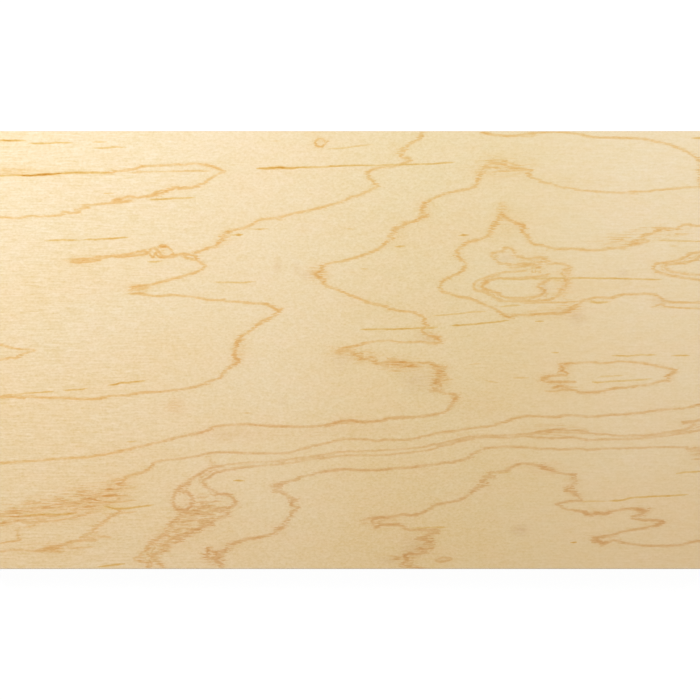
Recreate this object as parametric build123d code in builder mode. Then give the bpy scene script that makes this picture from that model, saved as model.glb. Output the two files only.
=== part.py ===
"""A plywood sheet, 500 x 300 x 18 mm, sawn to size and sanded on both faces.

The sheet is one piece of stock. It lies flat with its good face up. The origin is the
middle of the back face, +X runs with the grain of the face, and +Z points out of the face.
All sizes are in millimetres.
"""

import os

from build123d import *

# Driving dimensions
sheet_length = 500.0  # with the grain of the face
sheet_width = 300.0  # across the grain of the face
sheet_thickness = 18.0
ply_count = 13  # veneers, which show as bands along the sawn edges
corner_radius = 0.8  # left by handling on the four sawn corners
arris_radius = 0.4  # left by the sander where a face meets an edge
glue_line_width = 0.12  # hairline that the saw opens between two veneers
glue_line_depth = 0.1

ply_thickness = sheet_thickness / ply_count
glue_line_floors = [
    Plane.XY.offset(glue_line * ply_thickness - glue_line_width / 2)
    for glue_line in range(1, ply_count)
]


with BuildPart() as plywood_sheet:
    # The blank, with its four corners eased
    with BuildSketch():
        RectangleRounded(sheet_length, sheet_width, corner_radius)
    extrude(amount=sheet_thickness)

    # The sanded arris round both faces
    edges_by_height = plywood_sheet.edges().group_by(Axis.Z)
    fillet(edges_by_height[0] + edges_by_height[-1], radius=arris_radius)

    # The hairlines, one all round the sheet at each glue line
    with BuildSketch(*glue_line_floors):
        RectangleRounded(sheet_length, sheet_width, corner_radius)
        offset(amount=-glue_line_depth, mode=Mode.SUBTRACT)
    extrude(amount=glue_line_width, mode=Mode.SUBTRACT)

plywood_sheet.part.label = "plywood_sheet"

os.makedirs("parts", exist_ok=True)
export_step(plywood_sheet.part, "parts/plywood_sheet.step")
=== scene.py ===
"""A plywood sheet that lies good face up on a pale floor, seen from straight above.

The sheet is one closed piece. A Geometry Nodes tree sweeps its sawn edges round the outline,
ply by ply. The mesh of its good face has points along every dark line of the veneer's figure,
and the finish draws the lines from values that those points hold. Lengths are in millimetres
until a mesh is written, because Blender's own unit is the metre.
"""

import logging
import math
from dataclasses import dataclass
from enum import Enum
from functools import partial

import bpy
import numpy as np
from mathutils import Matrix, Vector, kdtree
from mathutils import noise as value_noise
from mathutils.geometry import delaunay_2d_cdt

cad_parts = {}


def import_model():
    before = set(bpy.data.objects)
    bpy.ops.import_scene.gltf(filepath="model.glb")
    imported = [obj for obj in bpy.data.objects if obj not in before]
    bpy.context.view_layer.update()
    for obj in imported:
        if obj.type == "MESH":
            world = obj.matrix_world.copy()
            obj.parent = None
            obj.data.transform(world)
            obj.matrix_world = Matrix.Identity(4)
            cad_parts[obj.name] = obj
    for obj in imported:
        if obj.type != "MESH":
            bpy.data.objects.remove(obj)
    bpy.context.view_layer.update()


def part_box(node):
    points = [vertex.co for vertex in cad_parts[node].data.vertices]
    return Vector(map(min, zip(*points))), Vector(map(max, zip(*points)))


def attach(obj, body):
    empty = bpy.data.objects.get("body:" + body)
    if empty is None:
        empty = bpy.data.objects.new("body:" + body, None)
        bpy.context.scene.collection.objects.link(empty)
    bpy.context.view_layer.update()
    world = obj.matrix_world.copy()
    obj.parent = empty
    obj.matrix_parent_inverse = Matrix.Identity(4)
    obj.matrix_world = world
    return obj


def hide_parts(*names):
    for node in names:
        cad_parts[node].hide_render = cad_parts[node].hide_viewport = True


MM = 0.001
NODE = "plywood_sheet"
PIECE = "plywood_sheet_dressed"
WHITE = (1.0, 1.0, 1.0, 1.0)
log = logging.getLogger("plywood_sheet")

Place = tuple[float, float]
Span = tuple[float, float]
Colour = tuple[float, float, float]
Face = tuple[int, ...]


@dataclass(frozen=True)
class Stroke:
    """How one kind of line is drawn. Lengths are in millimetres.

    width is the full width, depth runs from 0 for none to 1 for the darkest, fray is how far
    the line breaks into fibres where it crosses the grain, tint runs from 0 for the brown of
    a growth ring to 1 for the olive of a pith fleck, and taper is the length of a fading end.
    """

    width: float
    depth: float
    fray: float
    tint: float
    taper: float


class Mark(Enum):
    """The kinds of line in the figure of the veneer."""

    RING = Stroke(width=2.5, depth=0.58, fray=0.5, tint=0.0, taper=1.5)
    THREAD = Stroke(width=1.8, depth=0.42, fray=0.4, tint=0.1, taper=4.0)
    FLECK = Stroke(width=1.7, depth=0.66, fray=0.05, tint=1.0, taper=4.0)
    FAINT = Stroke(width=1.7, depth=0.42, fray=0.05, tint=0.7, taper=5.0)


@dataclass(frozen=True)
class Strand:
    """One line of the figure.

    weight is its depth as a share of its kind's depth. The route holds places in the
    photograph, in its pixels.
    """

    mark: Mark
    weight: float
    route: tuple[Place, ...]


def drawn(mark: Mark, weight: float, *route: Place) -> Strand:
    """Return a line of the figure through the places of its route."""
    return Strand(mark, weight, route)


ring = partial(drawn, Mark.RING)
thread = partial(drawn, Mark.THREAD)
fleck = partial(drawn, Mark.FLECK)
faint = partial(drawn, Mark.FAINT)


@dataclass(frozen=True)
class Bloom:
    """A place where the lines run thicker, or where a stain lies beside them.

    centre and reach are in the photograph's pixels. swell is added to the width and the depth
    of the lines as a share, fray to how far they break up, haze tans the wood between them,
    blush greys it and hatch fills it with fine dashes along the grain.
    """

    centre: Place
    reach: Place
    swell: float = 0.0
    fray: float = 0.0
    haze: float = 0.0
    blush: float = 0.0
    hatch: float = 0.0


@dataclass(frozen=True)
class PhotoFrame:
    """Where the face of the sheet lies in the photograph, in its pixels."""

    centre: Place = (350.0, 350.0)
    face_top: float = 131.0
    face_bottom: float = 569.0
    frame_side: float = 700.0

    def pixel(self, sheet_width: float) -> float:
        """Return the millimetres that one pixel spans on the face."""
        return sheet_width / (self.face_bottom - self.face_top)

    def on_face(self, place: Place, sheet_width: float) -> Place:
        """Return the millimetres from the middle of the face of a place in the photograph."""
        pixel = self.pixel(sheet_width)
        return (place[0] - self.centre[0]) * pixel, (self.centre[1] - place[1]) * pixel


RINGS = (
    # The tongue at the upper left
    ring(1.0, (-16, 176.5), (8, 175.3), (35, 175), (55, 173.8), (67, 172.7), (95, 172.8), (111, 172.7),
         (115, 171.3), (125, 170.5), (135, 168.7), (142, 166.5), (152, 165.8), (168, 165), (178, 164),
         (185, 164.8), (190, 163.7), (200, 164), (212, 166.5), (218, 169), (225, 171.5), (219, 173.5),
         (212, 177.5), (207, 181), (203, 184), (195, 186.5), (180, 188.2), (176, 187.5), (172, 188.5),
         (165, 191.5), (160, 194), (150, 196), (135, 197.5), (128, 196.8), (120, 199), (112, 200.2)),
    ring(1.0, (91, 207.5), (80, 208.5), (76, 210.5), (80, 212), (70, 213), (65, 212), (60, 215),
         (40, 216.5), (32, 215.8), (25, 217), (15, 218), (0, 217.3), (-16, 217.5)),
    # The long ring on the left, from the pin knots to the lower left edge
    ring(1.0, (71, 261), (80, 259.2), (90, 258.5), (105, 256.5), (117, 255.5), (130, 254.2), (140, 252),
         (145, 251), (147, 253.5), (149, 252), (152, 248.5), (156, 248.7), (159, 252), (162, 256),
         (172, 256.7), (180, 254), (190, 254.5), (194, 256), (198, 261), (204, 265.5), (202, 268),
         (200, 270.5), (195, 272.5), (182, 276.5), (170, 279.7), (157, 283), (150, 285), (140, 286),
         (134, 286.7), (131, 289), (129, 291.3), (131, 293.5), (140, 293.5), (150, 295.3), (160, 296),
         (170, 295), (190, 296.5), (200, 298), (208, 300), (223, 300.2), (226, 301.5), (240, 301.8),
         (248, 303), (262, 303.7), (268, 305), (273, 307), (276, 309), (281, 309.8), (278, 312),
         (275, 315), (270, 318), (262, 322), (256, 325.5), (254, 328.5), (250, 331.5), (243, 335),
         (239, 338), (241, 340.5), (237, 341.5), (236, 345), (234, 354), (235, 358), (240, 361),
         (235, 364), (231, 366.5), (227, 369.5), (223, 373.5), (222, 377), (215, 379.5), (210, 381.5),
         (205, 384), (198, 386), (185, 388.7), (175, 390.3), (160, 391.7), (140, 392.8), (134, 393.8),
         (128, 395.3), (112, 396), (104, 397.5), (95, 398.8), (80, 399.2), (65, 398), (45, 397.8),
         (35, 397), (26, 396.5), (23, 397.6), (10, 397), (-16, 397)),
    # The ring that comes down from the top edge and joins it
    ring(1.0, (423, 128), (422, 131.5), (421, 135), (418, 139.5), (412, 142.5), (408, 145), (404, 149),
         (400, 152), (403, 156), (408, 158.5), (412, 160.5), (405, 162.5), (395, 166), (385, 167.3),
         (378, 168), (372, 170), (368, 172.5), (369, 177), (372, 181), (377, 185.5), (374, 188),
         (368, 191), (360, 194.5), (350, 197.8), (340, 202.3), (330, 205), (310, 210.3), (290, 214.3),
         (280, 217), (272, 218.5), (262, 219.5), (257, 221), (252, 224), (244, 228), (235, 229.7),
         (230, 231.5), (226, 234.5), (222, 239), (217, 243.5), (215, 246.5), (208, 248), (203, 250),
         (197, 252), (194, 254.5), (195, 258)),
    # The great ring: along the top, back along the crest, and down the middle of the sheet
    ring(1.0, (480, 128), (482, 132), (490, 134), (500, 135.3), (510, 136), (518, 135.5), (527, 133.5),
         (540, 132.5), (560, 132), (580, 134.5), (590, 136.5), (600, 137.5), (625, 138), (640, 138.5),
         (655, 141), (670, 144.5), (678, 147.5), (690, 153.7), (695, 157), (700, 161), (702, 166),
         (699, 171), (702, 177), (699, 182), (703, 185), (700, 186.5), (690, 187.2), (680, 188),
         (660, 189.7), (650, 191.2), (630, 191.8), (620, 192.8), (610, 192.5), (600, 191.7), (580, 190.3),
         (570, 188), (560, 187), (552, 184), (545, 183), (537, 179.5), (531, 176.5), (528, 173),
         (530, 170), (520, 169), (512, 167), (505, 165), (498, 163), (490, 163.5), (484, 167.5),
         (481, 172), (479, 178), (477, 183.5), (474, 186.5), (468, 189), (460, 190.7), (450, 192.5),
         (443, 194.5), (435, 197.5), (430, 200.5), (424, 203.5), (422, 208), (423, 212), (427, 215.5),
         (420, 218), (415, 221), (408, 222.5), (402, 225), (396, 228), (394, 232), (391, 236.5),
         (389, 239.5), (386, 242.5), (384, 245), (380, 247.5), (376, 250.5), (370, 252.5), (360, 256),
         (350, 259), (340, 261.5), (330, 263), (325, 264.5), (322, 267), (321, 270), (318, 272),
         (315, 274), (318, 276.5), (322, 278), (325, 280), (324, 282.5), (325, 284.5), (330, 287),
         (337, 289.5), (343, 292), (350, 295.3), (358, 298.3), (370, 303), (378, 305), (385, 306.5),
         (390, 309), (398, 310.5), (405, 311.5), (412, 312), (418, 314.5), (423, 317), (424, 321),
         (426, 325), (424, 328), (422, 331), (427, 334), (431, 336), (438, 337.5), (440, 341),
         (437, 343.3), (430, 343), (420, 341.7), (412, 342), (405, 342.5), (398, 342), (390, 340.5),
         (380, 341), (370, 342), (362, 344), (350, 347), (342, 349), (338, 350.5), (350, 351.5),
         (354, 354), (360, 356), (363, 359), (369, 359), (374, 361), (377, 363.5), (383, 363.5),
         (390, 361), (400, 362.5), (412, 363), (424, 362.5), (430, 363), (436, 366), (444, 367.5),
         (440, 372), (442, 377), (436, 380), (436, 385), (433, 390), (440, 392), (446, 393.5), (452, 394),
         (458, 396.5), (455, 399), (452, 403), (450, 408), (445, 412), (440, 413.5), (430, 415.3),
         (410, 417.3), (390, 418), (380, 420.7), (362, 422), (350, 420.7), (338, 422), (332, 424),
         (325, 425.5), (305, 426.7), (282, 426.5), (262, 425.5), (244, 424.4), (230, 425), (222, 425.5),
         (215, 426.5), (210, 429.5), (204, 431.5), (198, 433.5), (182, 436.3), (168, 440), (150, 444.3),
         (132, 448.3), (118, 452), (100, 455.3), (90, 457), (70, 458), (50, 459.5), (30, 461), (0, 463),
         (-16, 464)),
    # The ring with a peak, right of the middle
    ring(1.0, (716, 303), (680, 302.5), (665, 301), (661, 298), (656, 295.5), (650, 294), (630, 294.3),
         (622, 294.8), (615, 296.5), (610, 298), (597, 297.5), (590, 299), (582, 301), (577, 305),
         (572, 309), (567, 311.3), (560, 313), (540, 314), (530, 315), (515, 315), (510, 317.3),
         (505, 315.3), (500, 312), (494, 308), (487, 306), (480, 302.5), (473, 299.5), (465, 297.5),
         (457, 296), (449, 293.5), (443, 291.5), (440, 287.5), (441, 283.5), (444, 280), (450, 277),
         (458, 274), (462, 271), (464, 268), (466, 265), (463, 261.5), (459, 257.7), (457, 255),
         (459, 252.5), (457, 250), (461, 247.5), (463, 245.5), (468, 242.5), (475, 240.7), (480, 239.3),
         (485, 237), (490, 234), (492, 229), (494, 225), (497, 222), (499, 217), (501, 214), (503, 216),
         (505, 217.5), (511, 220), (515, 223), (520, 224), (524, 227), (522, 231), (525, 234), (528, 238),
         (530, 242.5), (535, 244.5), (542, 245.5), (550, 247.5), (556, 249), (575, 249), (590, 250.3),
         (600, 250), (608, 248.5), (622, 247.8), (630, 245), (636, 243.5), (643, 242.5), (650, 241.5)),
    ring(1.0, (640, 236.5), (650, 234), (657, 231), (662, 229), (670, 228.5), (677, 228.5), (681, 226),
         (687, 224.5), (692, 225.5), (700, 225.5), (716, 225)),
    # The small head over the eye, and what stands right of it
    ring(0.9, (490, 253.5), (497, 252), (502, 251.5), (505, 249), (508, 247.8), (512, 249.5), (514, 253),
         (515, 255.5), (520, 257), (526, 258.5), (531, 258.5), (536, 257.5), (542, 257.3), (546, 259.5),
         (546, 263)),
    ring(0.8, (490, 255), (493, 257.5), (497, 260.5), (500, 263), (505, 263.7), (512, 265), (518, 264.5),
         (525, 263.5), (532, 264), (538, 266), (541, 269)),
    ring(0.85, (545, 264.5), (550, 264), (557, 263.5), (564, 264), (568, 266), (569, 268.5), (565, 271),
         (568, 274), (568, 277), (567, 281), (566, 285), (563, 288), (560, 291), (561, 293), (558, 295),
         (555, 297.5), (551, 299.5), (540, 300.7), (530, 301), (510, 301.2), (502, 300.8), (497, 298.5),
         (490, 294.5), (482, 291.5), (475, 289.5), (473.5, 285.5), (476, 282), (481, 279.3), (488, 277),
         (495, 275), (502, 272.7), (510, 271.7), (518, 271.5), (527, 270.3)),
    ring(1.05, (551, 279.5), (547, 281), (541, 283.5), (538, 287), (544, 289.5), (544, 293), (540, 295.5),
         (533, 297), (520, 298), (507, 297.5), (502, 296), (499, 293.5), (493, 291.5), (487, 289.5),
         (482, 287.5), (483, 284.5), (486, 282), (490, 280), (497, 278.3), (512, 278.5), (520, 277.7),
         (535, 276.8), (545, 275.3), (550, 274)),
    # The two tongues at the right edge, and the one at the left edge
    ring(1.0, (716, 249), (700, 252), (690, 254), (686, 256.5), (680, 259.5), (672, 261.5), (658, 263.5),
         (653.5, 267), (657, 271.5), (662, 273.5), (670, 275.5), (680, 277), (700, 280), (716, 281)),
    ring(0.9, (716, 252), (700, 256), (697, 259), (692, 261), (685, 262.5), (675, 263.5), (668, 264.5),
         (665, 267), (668, 270), (675, 272), (685, 273.5), (695, 274.5), (716, 275)),
    ring(0.9, (-16, 343.5), (0, 345), (10, 347), (17, 348.5), (25, 349.5), (34, 350), (30, 352),
         (25, 353.5), (20, 355), (17, 357.5), (10, 357.7), (5, 359), (-16, 361)),
    # The ring that crosses the whole sheet below the middle and breaks up at the lower left
    ring(1.0, (716, 402), (700, 404.5), (685, 408.2), (665, 409.5), (645, 412), (628, 414), (610, 415),
         (592, 416.7), (575, 415.8), (567, 415), (557, 417), (540, 416.5), (528, 416), (520, 417.4),
         (512, 419), (505, 421.5), (498, 424), (490, 426), (470, 428.5), (450, 431.3), (438, 433),
         (428, 435.5), (418, 437.5), (410, 439), (395, 440), (385, 439.7), (375, 440.7), (365, 439.5),
         (345, 439), (338, 440.5), (328, 442.7), (310, 446.7), (300, 449.5), (293, 451.8), (275, 453.5),
         (245, 453), (225, 452.3), (208, 453), (200, 455.5), (192, 457), (180, 458.8), (168, 459.8),
         (155, 462), (152, 465), (150, 468), (147, 470), (140, 473), (130, 475.3), (126, 477), (123, 480),
         (120, 484), (118, 487), (112, 489), (105, 491.5), (98, 494.5), (90, 498), (80, 501), (70, 503),
         (58, 504.5), (45, 507), (25, 508.7), (12, 512), (0, 514.5), (-16, 517)),
    # The double ring under it, which ends in the long combed tail
    ring(1.0, (716, 418.5), (700, 420.5), (690, 421.5), (684, 422.5), (690, 423), (695, 424.5),
         (688, 428.5), (680, 430.3), (670, 432), (660, 433.5), (650, 435), (635, 435.6), (614, 435.4),
         (608, 434.3), (596, 434), (588, 432.5), (580, 431.5), (570, 430.5), (556, 429.5), (548, 430.7),
         (540, 432), (530, 433.7), (515, 435), (485, 435.7), (475, 436.3), (466, 437.5), (458, 439.3),
         (440, 443.5), (432, 444.6), (425, 446.8), (415, 448), (395, 449.6), (370, 450.9), (345, 451.7),
         (335, 452.5), (325, 454.3), (315, 456), (300, 458), (280, 460.6), (266, 461.7), (254, 462.4),
         (240, 463.3), (225, 464.8), (220, 466), (210, 468.5), (205, 470.5), (200, 474), (195, 477),
         (190, 480), (188, 483), (183, 485.5), (180, 488), (176.5, 491.5), (174, 495.5), (172.5, 501),
         (174, 506), (178, 510), (180.5, 514), (176, 519), (169, 526), (167, 530), (163, 535), (158, 539),
         (153, 541), (150, 544.5), (147, 549), (143, 552), (140, 555.5), (135, 559), (140, 561),
         (146, 562.5), (148, 565), (146, 572)),
    ring(1.0, (716, 428.5), (700, 430), (690, 432), (672, 434.7), (658, 437), (650, 438), (625, 439),
         (600, 439.5), (592, 440), (585, 439.5), (577, 438), (570, 437.3), (558, 438), (538, 437.5),
         (528, 436.3), (515, 437.5), (485, 437.2), (475, 438), (466, 440.2), (458, 441.7), (450, 444.5),
         (440, 446.3), (435, 448.6), (428, 450.2), (418, 451.6), (398, 453.8), (388, 454.6), (378, 455.3),
         (360, 455), (350, 455.4), (335, 456.4), (325, 458), (315, 459), (300, 461.4), (280, 464.2),
         (250, 466.6), (240, 467.8), (228, 470), (220, 471.5), (215, 473), (211, 476), (207, 478.5),
         (203, 481), (203, 483.5), (207, 487), (212, 490), (217, 492.7), (222, 494), (227, 494.7),
         (231, 496.5), (234, 499.5), (236, 502.5), (238, 504), (232, 506), (228, 508.5), (222, 511),
         (228, 514.3), (222, 517), (214, 520), (210, 524), (203, 527), (195, 530), (190, 533.5),
         (183, 537), (178, 541), (172, 544.5), (166, 548), (158, 552), (153, 555), (152, 558.5),
         (157, 561.5), (161, 564), (162, 572)),
    # The ring under the pair
    ring(1.0, (716, 464), (706, 460), (703, 455), (700, 450.5), (695, 448.3), (690, 449), (686, 447.7),
         (668, 447), (655, 447.3), (640, 447.7), (625, 448.2), (600, 449), (590, 449.7), (580, 448.8),
         (560, 449.5), (550, 448.6), (540, 448.7), (530, 447.6), (505, 446.8), (488, 447.8), (482, 449.5),
         (478, 451.5), (473, 453.7), (470, 456.5), (465, 459), (458, 460.7), (452, 462.5), (445, 462.5),
         (437, 464.3), (427, 464.7), (420, 466), (412, 467.5), (397, 468.2), (382, 470), (365, 470.3),
         (345, 469.2), (330, 470.7), (322, 472), (308, 475.2), (300, 477), (296, 479.5), (290, 481),
         (283, 482.7), (280, 484.5), (273, 485.5), (279, 487), (275, 489), (280, 491.7), (285, 494),
         (290, 497), (294, 500.5), (291, 502.5), (292, 505), (297, 507.5), (295, 510), (292, 513),
         (290, 516), (287, 519.5), (285, 524), (282, 527), (277, 530), (273, 533.5), (265, 536),
         (258, 537.5), (243, 540), (236, 542.5), (231, 544.5), (228, 548), (224, 550.5), (218, 552.5),
         (221, 555.5), (217, 558.5), (216, 561.5), (221, 563), (220, 566), (228, 572)),
    # The ring of the lower right
    ring(1.0, (361, 520.5), (366, 519), (372, 518), (380, 517.3), (388, 517.6), (395, 516.5), (400, 515),
         (405, 514.3), (411, 515.3), (417, 514.5), (422, 513), (425, 511.5), (430, 508.5), (433, 506),
         (437, 504.5), (445, 503), (458, 500.5), (463, 498.5), (467, 496), (470, 493.5), (473, 491),
         (477, 488.5), (480, 486), (484, 483), (486, 480), (486, 478), (493, 477), (490, 474.5),
         (490, 472.3), (496, 472.8), (501, 471.5), (505, 470.5), (509, 468.5), (513, 466), (517, 464.7),
         (522, 463.7), (530, 464), (542, 466.5), (546, 468.5), (551, 470), (560, 472.7), (565, 474),
         (575, 475.7), (573, 478), (575, 481), (573, 484), (570, 486.5), (568, 489.5), (569, 491.5),
         (574, 493), (580, 497), (581, 500.3), (575, 500.8), (565, 502), (556, 504.3), (560, 505),
         (563, 507.5), (568, 509.5), (575, 510.3), (583, 511.7), (587, 514), (592, 514.8), (598, 513.3),
         (605, 513.5), (610, 511.7), (622, 509.7), (628, 508.5), (640, 509.5), (646, 510.7), (643, 513),
         (638, 515), (632, 517.5), (637, 519), (643, 520), (657, 520.6), (663, 522), (658, 524.7),
         (650, 526.7), (643, 528.4), (628, 530.5), (618, 533), (606, 536), (600, 537.3), (593, 537.7),
         (599, 539.5), (592, 541), (600, 541.7), (603, 543.7), (608, 542), (613, 540.2), (618, 541),
         (625, 543), (641, 545.3), (652, 545.8), (670, 545.6), (680, 545), (686, 543.7), (691, 542),
         (700, 541), (716, 540)),
    ring(1.0, (372, 519), (372.5, 523), (376, 527.3), (380, 525), (386, 524.8), (398, 524.5), (402, 526),
         (407, 528.7), (411, 530), (425, 529.8), (437, 529.7), (433, 532.5), (439, 532.5), (430, 533.5),
         (425, 536.5), (418, 538.5), (430, 541), (427, 543.5), (432, 545), (429, 548.5), (420, 549),
         (427, 551), (424, 552.7), (415, 554), (408, 553.5), (405, 557), (408, 559.5), (404, 562),
         (404, 565), (410, 566.8), (418, 568), (432, 570)),
    # The island at the right
    ring(1.0, (577, 382), (560, 382), (550, 381.7), (545, 380.7), (541, 378.8), (545, 377.7),
         (552, 375.8), (560, 375), (566, 374.5), (563, 371), (561, 367), (563, 364.7), (568, 363.8),
         (582, 362.7), (590, 362), (600, 363), (610, 362.7), (620, 361.5), (640, 363), (650, 364.7),
         (660, 366.3), (666, 368), (676, 370), (672, 373), (668, 375), (668, 380), (660, 381.5),
         (652, 384), (645, 385), (637, 385.7), (628, 387.5), (615, 388.5), (608, 390), (600, 391.7),
         (590, 392.5), (580, 392.5), (577, 391), (570, 389.5), (566, 388), (560, 386.3), (552, 388.3)),
)

THREADS = (
    # Second strands beside the rings
    thread(1.0, (130, 172.8), (145, 171.8), (160, 171.5), (200, 170.8), (212, 170.9)),
    thread(1.0, (175, 187), (170, 189.5), (163, 190.5), (150, 194)),
    thread(1.0, (135, 201.3), (130, 201), (120, 202.3), (100, 204), (90, 205), (78, 205)),
    thread(1.5, (73, 263.3), (90, 262), (97, 260.5), (108, 256.9), (120, 257), (140, 254.8),
           (148, 255.2)),
    thread(1.1, (180, 256), (187, 258), (193, 259.5), (197, 261)),
    thread(1.0, (132, 288.5), (150, 288.7)),
    thread(1.0, (517, 136.3), (530, 136.5), (540, 135)),
    thread(1.0, (485, 160.5), (500, 160), (508, 163), (520, 165.5)),
    thread(0.9, (476, 173), (483, 168.7), (490, 167.2), (500, 168), (503, 170.5)),
    thread(1.0, (627, 193.5), (640, 195)),
    thread(1.2, (625, 243.5), (633, 242), (640, 239.5), (650, 240)),
    thread(1.2, (505, 267), (515, 267.5), (525, 266), (532, 265.5)),
    thread(1.0, (510, 269), (522, 270.3)),
    thread(1.2, (532, 259), (534, 264), (532, 270)),
    thread(1.0, (520, 303), (545, 302.7), (580, 301.7)),
    thread(1.1, (565, 309), (570, 309), (582, 301.5)),
    thread(1.2, (651, 307.5), (657, 305.5), (661, 304), (665, 306.5), (675, 307.5), (700, 308.5),
           (716, 309)),
    thread(1.0, (340, 424), (352, 422)),
    thread(1.2, (543, 432.3), (560, 432.5), (575, 432.8), (590, 433.7)),
    thread(1.2, (400, 367), (412, 366), (425, 367)),
    thread(1.1, (388, 371), (402, 370.5)),
    thread(1.3, (432, 380), (445, 380.5), (453, 379.5)),
    thread(1.1, (544, 390.7), (553, 391.5), (562, 390), (573, 391)),
    thread(1.1, (560, 386.5), (577, 387.3)),
    thread(1.5, (593, 511.5), (606, 514.7)),
    thread(1.0, (360, 523.8), (371, 523.3)),
    thread(1.4, (377, 523.5), (379, 521.5), (381, 523)),
    thread(1.2, (388, 556), (401, 557.3)),
    thread(1.2, (389, 559.3), (403, 559)),
    thread(1.4, (409, 558), (416, 558)),
    thread(1.1, (688, 451.3), (702, 450.5)),
    thread(1.1, (690, 455), (702, 455)),
    thread(1.1, (691, 459.3), (704, 459)),
    # The pin knots at the upper left
    thread(1.5, (158, 247.5), (163, 246.5), (168, 247.2), (172, 251), (173, 254), (165, 257.2),
           (158, 256.3), (156, 252), (158, 247.5)),
    ring(1.5, (158, 246.3), (168, 246.4)),
    thread(1.0, (160, 243.5), (168, 243.3)),
    thread(1.3, (148, 251), (150, 255), (153, 257), (156, 252.5), (158, 256)),
    thread(1.1, (137, 253), (141, 251.3), (145, 252.5), (141, 254.3)),
    thread(1.2, (325.5, 142.5), (322, 146.5), (316.5, 145.5), (315.5, 141.5), (319, 138.5), (324, 139.5),
           (325.5, 142.5)),
    thread(1.2, (324.5, 144.5), (327.5, 141.5), (330, 138.5)),
    # The knot loop and the small rings at the foot
    ring(0.85, (181, 492.5), (186, 492), (190.5, 495.5), (193, 500.5), (191, 506), (186.5, 509.5),
         (181, 509.3), (177, 507.5)),
    thread(1.5, (213, 546.5), (207, 548.5), (209, 551), (206, 554.5), (208, 557.7), (212, 558),
           (216, 555.5), (214, 552), (209, 551)),
    thread(1.3, (206, 562), (216, 561.7)),
    thread(1.4, (434, 561), (438, 558.5), (443, 557.5), (450, 558), (452, 559.5), (448, 561), (440, 562),
           (434, 561)),
    # The combed tail of the double ring
    thread(1.0, (209.8, 457.5), (210.6, 461), (213, 465), (216, 468)),
    thread(1.4, (196, 497), (202, 497.5), (209, 496.3)),
    thread(1.6, (194, 503), (205, 501.8), (222, 501.3)),
    thread(1.6, (195, 507), (205, 505.8), (216, 506)),
    thread(1.6, (188, 511), (200, 509), (218, 508), (232, 507.5)),
    thread(1.2, (183, 514.5), (192, 512.3), (200, 512.5), (221, 510.7)),
    thread(1.3, (174, 520.5), (183, 517), (200, 514.3), (216, 515)),
    thread(1.3, (176, 524.5), (190, 521), (200, 520), (219, 517.3)),
    thread(1.5, (198, 523.5), (213, 521.5)),
    thread(1.1, (200, 526.5), (216, 525)),
    thread(1.3, (170, 533), (183, 528.3), (195, 530), (206, 528.3)),
    thread(1.2, (172, 537), (188, 533), (202, 532.6)),
    thread(1.3, (160, 545), (172, 539), (190, 535.5)),
    thread(1.1, (158, 549.5), (170, 543.5), (183, 541)),
    thread(1.2, (154, 553), (160, 551.5), (169, 551)),
    # The broken band at the lower left
    thread(1.3, (119, 495), (105, 495.5), (98, 497), (90, 500), (82, 503), (75, 504.5), (65, 506),
           (50, 508), (33, 511.5), (20, 511.7), (8, 514), (-16, 519)),
    thread(1.1, (137, 500.3), (120, 501.5), (105, 502.5), (98, 503), (90, 506.5), (80, 508)),
    fleck(1.4, (154, 504.8), (145, 506), (125, 508.3), (115, 508.5), (104, 506.5)),
    thread(1.1, (137, 511.4), (125, 513), (115, 514), (103, 513.5)),
    thread(1.5, (-16, 517), (10, 516.5), (40, 516), (65, 514), (77, 512.7)),
    thread(1.4, (-16, 525.5), (0, 523.5), (12, 519.5), (20, 521), (35, 522), (50, 521), (70, 518.5),
           (77, 516.5), (84, 514.5), (92, 511)),
    thread(1.2, (-16, 528), (0, 525.5), (16, 523)),
    thread(1.1, (24, 527.5), (33, 526), (41, 522.3)),
    thread(1.3, (19, 528), (17, 533), (19, 540), (10, 541.5), (-6, 544.5)),
    ring(0.85, (122, 509.5), (116, 514), (110, 517.5), (104, 521.5), (100, 524), (96, 527), (94, 530),
         (89, 532.5), (86, 535), (81, 537), (90, 537.3), (105, 536.7), (111, 537.5)),
    ring(0.85, (98, 540.5), (88, 540), (80, 541), (72, 541.5), (66, 543.5), (58, 546.5), (50, 547.5),
         (40, 549.7), (33, 551), (25, 550.5), (10, 550), (0, 551.5), (-16, 552)),
    thread(1.2, (64, 545.5), (55, 548), (45, 550), (37, 552)),
    thread(1.2, (65, 551.5), (45, 551.7)),
    thread(1.1, (96, 546.8), (85, 547.5), (69, 548.5)),
)

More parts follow.
